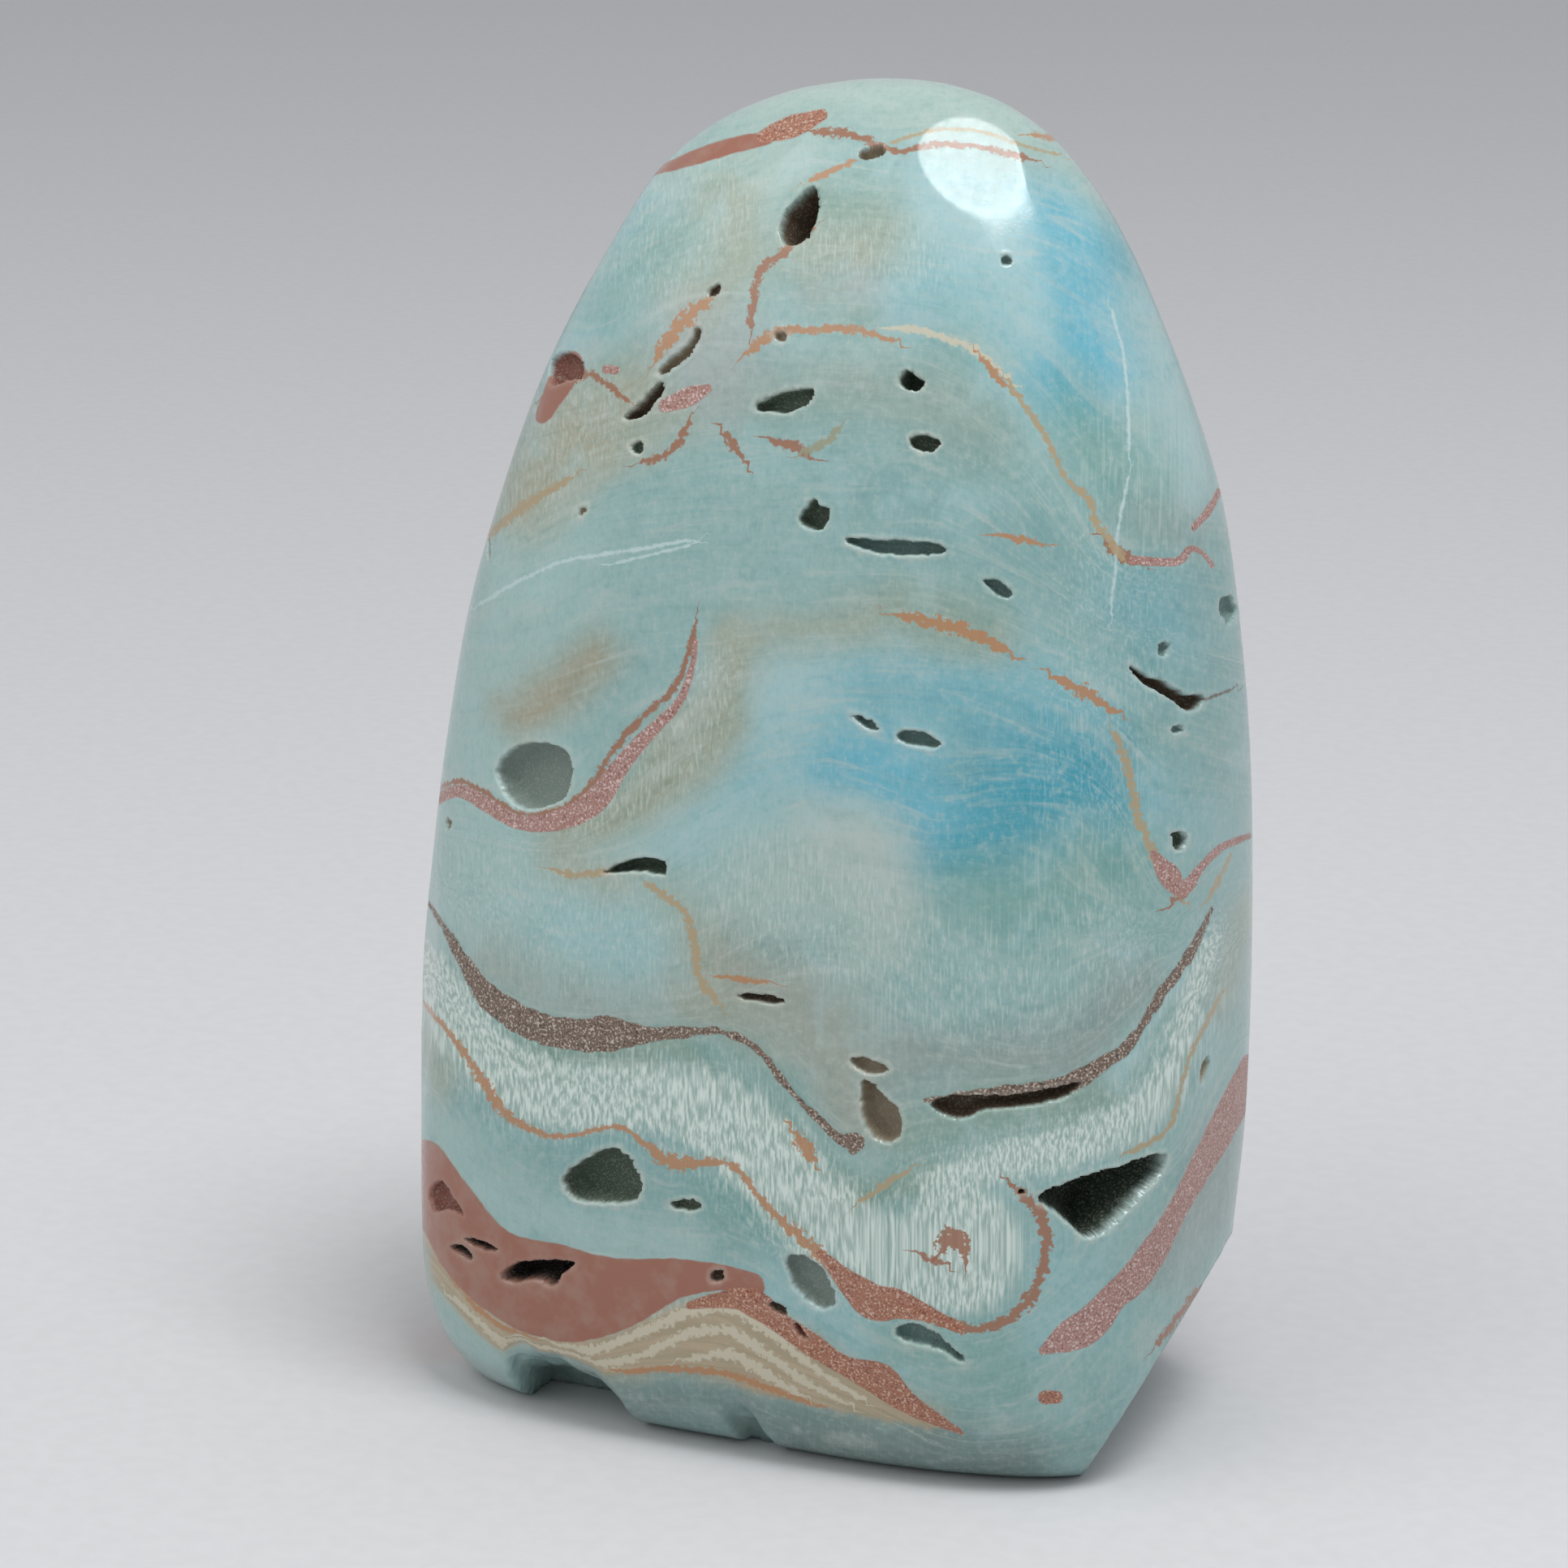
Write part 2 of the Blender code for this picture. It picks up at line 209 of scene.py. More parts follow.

# Soft zones of the ground colour, painted in this order: colour, softness in pixels, strength,
# and a stroke of (right, down, half width) in photo pixels. Some zones are painted shade along the
# foot, and one is partly a painted reflection at the upper right.
Zone = namedtuple("Zone", "tone soft strength stroke")
GROUND_TONE = "teal"
ZONES = (
    Zone("pale_teal", 130, 0.9, ((640, 560, 70), (590, 760, 90), (600, 960, 60))),
    Zone("pale_teal", 120, 0.9, ((560, 1080, 70), (680, 1110, 90), (800, 1160, 70))),
    Zone("green_milk", 60, 0.9, ((940, 110, 40), (1100, 115, 40), (1230, 140, 40), (1330, 230, 35))),
    Zone("green_milk", 70, 0.9, ((960, 190, 30), (860, 250, 60), (800, 320, 50))),
    Zone("pale_sky", 60, 0.8, ((790, 250, 22), (720, 380, 30), (660, 500, 20))),
    Zone("green_teal", 50, 0.5, ((850, 300, 14), (790, 330, 14), (735, 385, 16))),
    Zone("olive", 50, 0.8, ((905, 240, 14), (915, 320, 24), (850, 385, 18))),
    Zone("lilac_grey", 60, 0.6, ((840, 420, 25), (880, 470, 30), (900, 420, 20))),
    Zone("green", 45, 0.85, ((1010, 250, 16), (1080, 262, 18), (1160, 292, 12))),
    Zone("olive", 45, 0.85, ((1000, 310, 22), (1080, 312, 24), (1150, 320, 14))),
    Zone("lilac_grey", 40, 0.6, ((1010, 355, 14), (1070, 358, 16), (1130, 370, 12))),
    Zone("green", 45, 0.6, ((1000, 330, 10), (1030, 380, 12), (1070, 390, 8))),
    Zone("sky", 70, 0.9, ((1130, 360, 25), (1220, 340, 60), (1300, 440, 50))),
    # Partly the stone's pale blue, partly a painted reflection of the softbox at the upper right
    Zone("pale_sky", 60, 0.9, ((1180, 240, 40), (1250, 300, 50), (1290, 380, 30))),
    Zone("bright_blue", 60, 0.95, ((1300, 260, 20), (1345, 350, 42), (1350, 440, 45), (1310, 470, 30))),
    Zone("pale_sky", 60, 0.8, ((1420, 380, 26), (1450, 470, 35), (1480, 590, 26))),
    Zone("green_teal", 60, 0.55, ((1320, 500, 24), (1360, 560, 28), (1400, 590, 24))),
    Zone("grey_teal", 50, 0.6, ((1420, 640, 24), (1460, 650, 16))),
    Zone("beige", 60, 0.85, ((780, 480, 18), (710, 530, 42), (640, 630, 22))),
    Zone("green", 50, 0.5, ((960, 500, 18), (1120, 480, 22), (1180, 540, 24))),
    Zone("grey_beige", 50, 0.45, ((900, 490, 14), (1000, 470, 12), (1120, 500, 26), (1210, 560, 18))),
    Zone("beige", 40, 0.5, ((760, 560, 14), (830, 520, 20))),
    Zone("deep_teal", 90, 0.9, ((1060, 590, 30), (1180, 640, 55), (1290, 690, 50), (1420, 770, 50))),
    Zone("teal", 80, 0.8, ((900, 700, 40), (1050, 730, 30), (1180, 740, 20))),
    Zone("bright_blue", 80, 0.35, ((1400, 740, 20), (1440, 790, 26))),
    Zone("deep_teal", 70, 0.7, ((1430, 870, 40), (1480, 960, 40), (1510, 820, 20))),
    Zone("sky", 60, 0.5, ((1440, 990, 26), (1490, 1010, 18))),
    Zone("stain", 46, 0.85, ((640, 880, 12), (680, 845, 22), (740, 810, 14))),
    Zone("pale_sky", 110, 0.8, ((890, 1000, 50), (950, 880, 60), (1050, 850, 40))),
    Zone("sky", 80, 0.95, ((930, 1000, 60), (1050, 930, 70), (1200, 860, 50), (1320, 880, 34))),
    Zone("deep_blue", 90, 0.5, ((1080, 850, 16), (1200, 860, 24), (1280, 890, 20))),
    Zone("deep_blue", 80, 1.0, ((1170, 1040, 34), (1240, 985, 52), (1330, 960, 44), (1370, 985, 16))),
    Zone("bright_blue", 60, 0.9, ((1050, 950, 30), (1100, 960, 36), (1140, 1000, 20))),
    Zone("green_teal", 90, 0.85, ((1200, 1110, 30), (1270, 1130, 45), (1350, 1090, 40))),
    Zone("green_milk", 80, 0.85, ((940, 1080, 50), (1040, 1080, 45), (1080, 1150, 40))),
    Zone("milk", 60, 0.6, ((1020, 1030, 20), (1090, 1060, 24), (1110, 1110, 16))),
    Zone("teal", 80, 0.85, ((1180, 1200, 50), (1270, 1240, 45), (1370, 1170, 40))),
    Zone("grey_teal", 60, 0.85, ((1120, 1300, 20), (1220, 1315, 28), (1330, 1290, 24), (1400, 1210, 16))),
    Zone("sky", 90, 0.5, ((720, 1150, 40), (800, 1190, 30))),
    Zone("grey_beige", 60, 0.7, ((600, 1190, 14), (680, 1240, 16), (800, 1250, 14), (880, 1240, 16))),
    Zone("grey_beige", 70, 0.95, ((890, 1190, 28), (960, 1240, 50), (1020, 1290, 48), (1060, 1370, 34))),
    Zone("olive", 60, 0.6, ((830, 1110, 14), (860, 1180, 16), (880, 1230, 20))),
    Zone("olive", 44, 0.95,
         ((690, 1022, 12), (790, 985, 24), (850, 920, 40), (892, 850, 24), (905, 795, 14))),
    Zone("milk", 30, 0.5, ((840, 900, 10), (868, 850, 12), (880, 800, 8))),
    Zone("olive", 46, 0.75, ((900, 785, 14), (1000, 772, 16), (1110, 758, 16), (1230, 790, 14))),
    Zone("green", 50, 0.6, ((1110, 750, 12), (1200, 760, 14))),
    Zone("beige", 40, 0.6, ((690, 1060, 10), (760, 1090, 12))),
    Zone("green", 26, 0.9,
         ((610, 1285, 6), (680, 1305, 14), (770, 1300, 14), (870, 1296, 18), (940, 1335, 16),
          (990, 1400, 16), (1050, 1460, 18), (1110, 1460, 18), (1150, 1450, 12))),
    Zone("teal", 26, 0.7,
         ((880, 1290, 8), (960, 1350, 10), (1010, 1410, 10), (1060, 1435, 12), (1110, 1425, 12))),
    Zone("green", 40, 0.8,
         ((1110, 1400, 14), (1220, 1375, 22), (1320, 1360, 20), (1390, 1310, 14), (1440, 1240, 8))),
    Zone("pale_sky", 24, 0.7, ((1380, 1320, 8), (1425, 1260, 8), (1460, 1200, 6))),
    Zone("deep_teal", 60, 0.75,
         ((560, 1350, 26), (640, 1440, 34), (750, 1440, 30), (850, 1480, 30), (940, 1520, 26))),
    Zone("pale_teal", 44, 0.8, ((530, 1340, 16), (590, 1450, 20), (700, 1515, 16), (850, 1530, 16))),
    Zone("olive", 40, 0.7, ((530, 1290, 12), (550, 1330, 12))),
    Zone("green_teal", 46, 0.5, ((880, 1470, 20), (940, 1510, 16))),
    Zone("sky", 50, 0.6, ((940, 1590, 20), (1030, 1630, 24), (1060, 1650, 14))),
    Zone("green_teal", 50, 0.5, ((1120, 1655, 20), (1220, 1690, 40), (1180, 1730, 20))),
    Zone("sky", 50, 0.5, ((1300, 1560, 20), (1340, 1600, 16), (1280, 1640, 14))),
    Zone("cream", 30, 0.95,
         ((540, 1560, 10), (600, 1632, 14), (700, 1676, 16), (800, 1655, 28), (880, 1650, 44),
          (960, 1680, 34), (1050, 1720, 18), (1140, 1752, 8))),
    Zone("pale_teal", 40, 0.85, ((535, 1610, 14), (590, 1680, 24), (640, 1710, 12))),
    # Painted shade along the foot's lower front edge, which faces down
    Zone("painted_foot_shade", 44, 0.95,
         ((680, 1712, 8), (860, 1722, 14), (1000, 1765, 26), (1150, 1790, 26), (1270, 1800, 18))),
    # Painted shade at the foot's lower right corner
    Zone("deep_teal", 50, 0.6, ((1330, 1790, 20), (1380, 1740, 20))),
    Zone("grey_teal", 50, 0.75, ((1440, 1560, 14), (1490, 1470, 22), (1530, 1380, 18))),
    Zone("beige", 40, 0.5, ((1500, 1230, 14), (1535, 1130, 14))),
)
ZONE_INNER_SOFT = 0.5

# Wandering of the zones: reach in pixels, grain size in mm, and shift of the noise
ZONE_WANDERINGS = ((16, 7.0, 21), (7, 2.5, 23))

# Bands with a clear edge, by kind: strokes of (right, down, half width) in photo pixels
BANDS = {
    "milk": (
        ((520, 1180, 22), (560, 1250, 32), (620, 1320, 38), (690, 1350, 42), (790, 1352, 38),
         (870, 1368, 48), (940, 1425, 50), (1000, 1490, 52), (1060, 1535, 52), (1110, 1555, 56),
         (1175, 1540, 84)),
        ((1150, 1455, 16), (1250, 1428, 26), (1350, 1400, 26), (1420, 1355, 24), (1452, 1290, 18),
         (1472, 1220, 14), (1495, 1150, 8)),
    ),
    "cream": (
        ((525, 1520, 6), (560, 1590, 14), (640, 1660, 16), (740, 1672, 22), (820, 1652, 32),
         (880, 1645, 44), (950, 1678, 40), (1040, 1718, 20), (1150, 1756, 5)),
    ),
    "red": (
        ((519, 1438, 34), (545, 1480, 38), (600, 1555, 46), (680, 1592, 60), (750, 1596, 48),
         (830, 1576, 26), (890, 1574, 16), (925, 1585, 18)),
        ((800, 214, 3), (850, 196, 9), (900, 180, 10), (945, 170, 9)),
        ((668, 512, 10), (690, 470, 16), (704, 446, 14)),
    ),
    "sugar": (
        ((850, 1608, 5), (900, 1600, 12), (930, 1606, 17), (965, 1632, 13), (1000, 1656, 14),
         (1040, 1682, 12), (1085, 1700, 20), (1120, 1730, 13), (1185, 1766, 3)),
        ((1010, 1545, 5), (1040, 1575, 13), (1075, 1604, 22), (1108, 1608, 18), (1150, 1622, 9),
         (1182, 1636, 7)),
        ((940, 168, 8), (975, 156, 14), (1012, 142, 8)),
        ((1288, 1722, 9), (1302, 1722, 8)),
    ),
    "mauve": (
        ((1286, 1664, 6), (1315, 1648, 19), (1345, 1630, 21), (1372, 1598, 17), (1400, 1572, 19),
         (1428, 1530, 16), (1452, 1488, 13), (1500, 1400, 17), (1545, 1315, 18)),
        ((530, 992, 5), (565, 974, 8), (600, 992, 9), (640, 1014, 9), (690, 1010, 13), (735, 985, 15),
         (765, 942, 11), (805, 898, 8), (835, 868, 6), (850, 832, 4), (858, 790, 3)),
        ((1422, 1052, 5), (1440, 1078, 14), (1458, 1095, 10), (1480, 1068, 5), (1505, 1044, 5),
         (1538, 1030, 4)),
        ((1395, 690, 6), (1450, 692, 5), (1466, 676, 4), (1482, 682, 3), (1494, 697, 3)),
        ((1470, 650, 4), (1488, 630, 5), (1502, 605, 4)),
        ((745, 455, 5), (760, 456, 5)),
        ((820, 500, 9), (850, 488, 12), (872, 478, 6)),
    ),
    "dark": (
        ((520, 1100, 2), (545, 1140, 4), (575, 1190, 8), (602, 1228, 15), (650, 1260, 18), (700, 1275, 19),
         (750, 1274, 22), (800, 1275, 10), (870, 1270, 5), (905, 1277, 5), (940, 1300, 4), (970, 1340, 4),
         (1000, 1370, 4), (1030, 1400, 6), (1052, 1408, 13)),
        ((1140, 1355, 3), (1240, 1345, 8), (1300, 1342, 12), (1340, 1322, 11), (1375, 1300, 8),
         (1402, 1272, 6), (1430, 1225, 6), (1455, 1192, 6), (1475, 1157, 5), (1492, 1120, 3)),
    ),
}
SMOOTH_KINDS = ("milk", "cream", "red")
GRAINY_KINDS = ("sugar", "mauve", "dark")

# Veins and lines: tint, and a stroke of (right, down, half width) in photo pixels
TINTS = ("umber", "rust", "orange", "tan", "olive_line", "cream_line", "frost")
Vein = namedtuple("Vein", "tint stroke")
VEINS = (
    Vein("rust",
         ((1005, 163, 4), (1050, 166, 6), (1090, 182, 4), (1115, 186, 3), (1150, 177, 4), (1200, 180, 3),
          (1245, 189, 5), (1268, 196, 3))),
    Vein("tan", ((1100, 175, 2), (1150, 160, 2), (1200, 160, 2), (1260, 178, 2), (1300, 190, 2))),
    Vein("orange", ((1275, 166, 3), (1300, 170, 3))),
    Vein("orange", ((1000, 222, 3), (1025, 210, 4), (1052, 198, 3))),
    Vein("rust", ((1000, 282, 3), (965, 310, 6), (935, 338, 5), (925, 400, 5))),
    Vein("orange", ((925, 432, 6), (955, 410, 6), (1000, 407, 5), (1050, 405, 5), (1100, 420, 3))),
    Vein("cream_line", ((1110, 404, 4), (1150, 412, 5), (1200, 430, 5), (1240, 465, 5))),
    Vein("orange", ((1212, 444, 4), (1228, 464, 6), (1240, 475, 3))),
    Vein("tan",
         ((1245, 476, 4), (1290, 540, 4), (1312, 590, 4), (1340, 612, 4), (1352, 645, 5), (1380, 682, 5))),
    Vein("rust", ((1368, 672, 6), (1385, 686, 10), (1398, 692, 6))),
    Vein("frost", ((1370, 380, 1.5), (1385, 440, 1.5), (1390, 500, 1.5), (1391, 560, 1.5))),
    Vein("frost", ((1390, 590, 1.5), (1378, 650, 1.5), (1375, 700, 1.5), (1368, 750, 1.5))),
    Vein("rust", ((678, 486, 5), (720, 462, 5), (742, 470, 4), (772, 492, 3))),
    Vein("orange", ((872, 372, 6), (846, 392, 10), (822, 420, 8), (808, 444, 4))),
    Vein("rust", ((798, 568, 4), (822, 560, 5), (836, 545, 5), (848, 524, 4))),
    Vein("tan", ((600, 660, 4), (640, 626, 6), (700, 590, 4))),
    Vein("frost", ((590, 745, 2), (640, 715, 2), (700, 690, 2), (780, 678, 2), (850, 665, 2))),
    Vein("frost", ((760, 694, 1.5), (850, 672, 1.5))),
    Vein("rust", ((898, 542, 6), (912, 562, 5))),
    Vein("rust", ((955, 545, 4), (980, 550, 7), (995, 558, 4))),
    Vein("olive_line", ((996, 556, 5), (1015, 548, 5), (1032, 530, 4))),
    Vein("orange", ((1235, 660, 3), (1258, 664, 5), (1278, 668, 3))),
    Vein("umber", ((1484, 862, 1.5), (1516, 850, 1.5))),
    Vein("rust",
         ((530, 978, 3), (565, 962, 3), (600, 978, 3), (640, 1002, 3), (690, 996, 3), (728, 966, 4),
          (755, 925, 4), (798, 877, 4), (828, 852, 4), (845, 815, 3), (858, 768, 3))),
    Vein("orange", ((1108, 757, 4), (1140, 764, 8), (1185, 776, 9), (1240, 802, 5))),
    Vein("orange", ((1300, 835, 4), (1335, 852, 8), (1368, 874, 4))),
    Vein("tan",
         ((1375, 910, 5), (1390, 950, 5), (1400, 1000, 5), (1412, 1030, 5), (1428, 1064, 5),
          (1450, 1100, 5))),
    Vein("rust", ((1450, 1108, 5), (1458, 1102, 5))),
    Vein("tan", ((1514, 1056, 3), (1500, 1085, 3), (1488, 1104, 3))),
    Vein("tan", ((800, 1090, 4), (848, 1130, 5), (860, 1200, 5), (880, 1230, 5))),
    Vein("orange", ((895, 1204, 3), (920, 1208, 4), (942, 1210, 3))),
    Vein("tan", ((690, 1075, 4), (720, 1078, 5), (748, 1074, 4))),
    Vein("orange",
         ((525, 1240, 3), (560, 1280, 4), (595, 1330, 6), (622, 1370, 6), (660, 1394, 4), (700, 1400, 3),
          (760, 1388, 3), (790, 1406, 3), (812, 1424, 7), (840, 1434, 9), (872, 1432, 5), (905, 1437, 4),
          (940, 1480, 4), (970, 1510, 6), (1010, 1546, 8))),
    Vein("rust",
         ((1120, 1612, 5), (1180, 1636, 6), (1230, 1632, 6), (1268, 1602, 7), (1288, 1548, 7),
          (1284, 1500, 7), (1252, 1466, 6))),
    Vein("rust", ((1162, 1535, 10), (1170, 1525, 13), (1184, 1530, 10), (1188, 1546, 5))),
    Vein("rust", ((1140, 1550, 4), (1154, 1556, 4))),
    Vein("tan",
         ((1395, 1418, 3), (1438, 1392, 3), (1452, 1350, 3), (1466, 1300, 3), (1482, 1268, 3),
          (1502, 1228, 3))),
    Vein("tan", ((1065, 1478, 4), (1086, 1462, 4), (1112, 1446, 4))),
    Vein("orange", ((984, 1402, 8), (996, 1420, 9))),
    Vein("cream_line",
         ((640, 1650, 3), (720, 1664, 5), (780, 1646, 6), (850, 1616, 7), (895, 1610, 7), (935, 1630, 7),
          (970, 1658, 5), (1010, 1690, 4), (1060, 1722, 3))),
    Vein("cream_line",
         ((560, 1600, 3), (640, 1668, 4), (740, 1680, 5), (800, 1666, 5), (850, 1642, 6), (900, 1640, 6),
          (940, 1664, 6), (990, 1700, 4), (1040, 1728, 3))),
    Vein("cream_line", ((850, 1674, 4), (900, 1668, 6), (940, 1690, 6), (980, 1714, 4))),
    Vein("orange", ((770, 1690, 3), (830, 1686, 4), (890, 1690, 4), (940, 1706, 4), (1000, 1728, 4))),
    Vein("orange", ((524, 1515, 3), (556, 1570, 3), (600, 1622, 3), (660, 1655, 3))),
    Vein("cream_line", ((728, 1568, 5), (760, 1574, 6), (800, 1570, 5), (860, 1572, 6), (890, 1577, 5))),
    Vein("rust", ((1428, 1654, 4), (1452, 1622, 4), (1478, 1588, 4))),
    Vein("cream_line", ((575, 1560, 4), (582, 1567, 4))),
    Vein("cream_line", ((600, 1568, 4), (612, 1570, 5))),
    Vein("cream_line", ((596, 1598, 3), (612, 1598, 4))),
)
VEIN_LAYERS = 3
VEIN_CLEARANCE = 64
VEIN_FADE = (1.2, 2.4)

# No distance is told beyond this, in mm
FARTHEST = 3.0

# Growth layers: the level in mm of each layer line, its points in photo pixels
LAYER_LINES = (
    (54, ((780, 235), (850, 196), (930, 170), (1010, 162), (1090, 180), (1160, 176), (1240, 188),
          (1320, 215))),
    (47, ((740, 340), (860, 290), (960, 260), (1080, 262), (1180, 280), (1300, 300), (1420, 380))),
    (38, ((660, 500), (760, 475), (850, 400), (930, 400), (1050, 405), (1150, 412), (1240, 465),
          (1300, 560), (1380, 685), (1450, 690), (1530, 705))),
    (29, ((600, 655), (700, 590), (800, 560), (920, 545), (1050, 530), (1150, 545), (1250, 600),
          (1330, 700), (1420, 770), (1535, 800))),
    (20, ((585, 745), (700, 690), (850, 665), (1050, 668), (1150, 680), (1250, 722), (1350, 772),
          (1535, 840))),
    (13, ((565, 860), (660, 840), (760, 800), (870, 785), (1000, 775), (1110, 765), (1240, 800),
          (1340, 850), (1420, 900), (1540, 940))),
    (6, ((530, 985), (600, 992), (690, 1010), (760, 940), (860, 870), (960, 840), (1100, 830), (1250, 845),
         (1340, 880), (1390, 950), (1415, 1030), (1450, 1100), (1490, 1060), (1540, 1030))),
    (-3, ((530, 1070), (650, 1075), (780, 1070), (900, 1000), (1020, 960), (1150, 1000), (1260, 985),
          (1360, 1010), (1400, 1080), (1450, 1150), (1540, 1090))),
    (-14, ((520, 1120), (600, 1200), (700, 1235), (850, 1225), (960, 1170), (1060, 1170), (1180, 1240),
           (1290, 1270), (1380, 1210), (1440, 1150), (1540, 1110))),
    (-21, ((515, 1100), (575, 1190), (650, 1262), (750, 1275), (870, 1270), (940, 1300), (1000, 1370),
           (1050, 1408), (1100, 1372), (1160, 1360), (1300, 1345), (1400, 1275), (1455, 1195), (1492, 1120),
           (1540, 1090))),
    (-30, ((515, 1225), (595, 1330), (660, 1395), (760, 1390), (830, 1435), (905, 1435), (970, 1510),
           (1040, 1580))),
    (-30, ((1210, 1462), (1280, 1455), (1390, 1425), (1440, 1390), (1456, 1340), (1480, 1270), (1505, 1220),
           (1540, 1160))),
    (-38, ((512, 1380), (570, 1470), (680, 1530), (830, 1550), (925, 1565), (1000, 1620), (1080, 1665),
           (1200, 1680), (1290, 1650), (1380, 1590), (1450, 1480), (1545, 1300))),
    (-45, ((512, 1500), (600, 1610), (700, 1657), (800, 1622), (870, 1595), (925, 1610), (1000, 1655),
           (1100, 1720), (1185, 1765), (1300, 1740), (1400, 1600), (1460, 1510), (1540, 1370))),
    (-51, ((520, 1600), (620, 1690), (760, 1700), (900, 1705), (1050, 1740), (1200, 1795), (1400, 1770))),
)
LAYER_PULL = 3.0
LAYER_EASE = 12.0

# The layers close into a ring round the rosette: its middle and radius in photo pixels, its level
# in mm, and how many points the ring has
ROSETTE = (1175, 1535, 74)
ROSETTE_LEVEL = -30
ROSETTE_POINTS = 24

# How strongly the fibres show, as softness in pixels, strength, and a stroke of (right, down,
# half width) in photo pixels
FIBRES = (
    (40, 1.0,
     ((540, 1230, 40), (640, 1330, 50), (790, 1350, 50), (880, 1375, 60), (960, 1450, 60), (1060, 1540, 60),
      (1170, 1540, 80))),
    (40, 0.8, ((1150, 1450, 30), (1280, 1425, 34), (1400, 1370, 34), (1460, 1270, 26), (1500, 1150, 16))),
    (60, 0.6, ((940, 1100, 60), (1060, 1150, 60), (1200, 1220, 60), (1350, 1170, 60))),
    (60, 0.45, ((580, 1090, 50), (700, 1140, 70), (820, 1170, 50))),
    (30, 0.7, ((720, 1005, 20), (800, 960, 26), (850, 900, 36), (885, 830, 22))),
    (50, 0.5, ((700, 520, 60), (640, 610, 30))),
    (40, 0.5, ((1000, 300, 24), (1100, 310, 28), (1160, 330, 16))),
    (40, 0.5, ((860, 250, 60), (800, 330, 40))),
    (40, 0.6, ((820, 1640, 30), (900, 1630, 30), (1000, 1690, 24))),
    (50, 0.4, ((1330, 1110, 60), (1400, 560, 60))),
)
FIBRES_ELSEWHERE = 0.12
FIBRE_INNER_SOFT = 0.3

# The hidden side shows the same layers grown on: places drift by up to this many pixels
DRIFT_SIZE = 26.0
DRIFT_REACH = 85.0
DRIFT_FADE = (-0.1, 0.7)

# A pit or crevice: depth and wall width in mm, strength of the pale crust round the mouth, colour
# of the lining, and the mouth's outline in pixels of the view that it is laid out in. The darkest
# linings, in the cave and the deep small holes, are painted shade.
Pit = namedtuple("Pit", "depth wall crust tone outline")


def oval(right, down, half_length, half_width, tilt, seed, wobble=0.16, count=11):
    """Uneven rounded outline, its long axis turned by tilt degrees anticlockwise."""
    rng = random.Random(seed)
    turn = math.radians(tilt)
    points = []
    for step in range(count):
        angle = math.tau * step / count
        swell = 1 + rng.uniform(-wobble, wobble)
        along = half_length * swell * math.cos(angle)
        across = half_width * swell * math.sin(angle)
        points.append((right + along * math.cos(turn) + across * math.sin(turn),
                       down - along * math.sin(turn) + across * math.cos(turn)))
    return tuple(points)


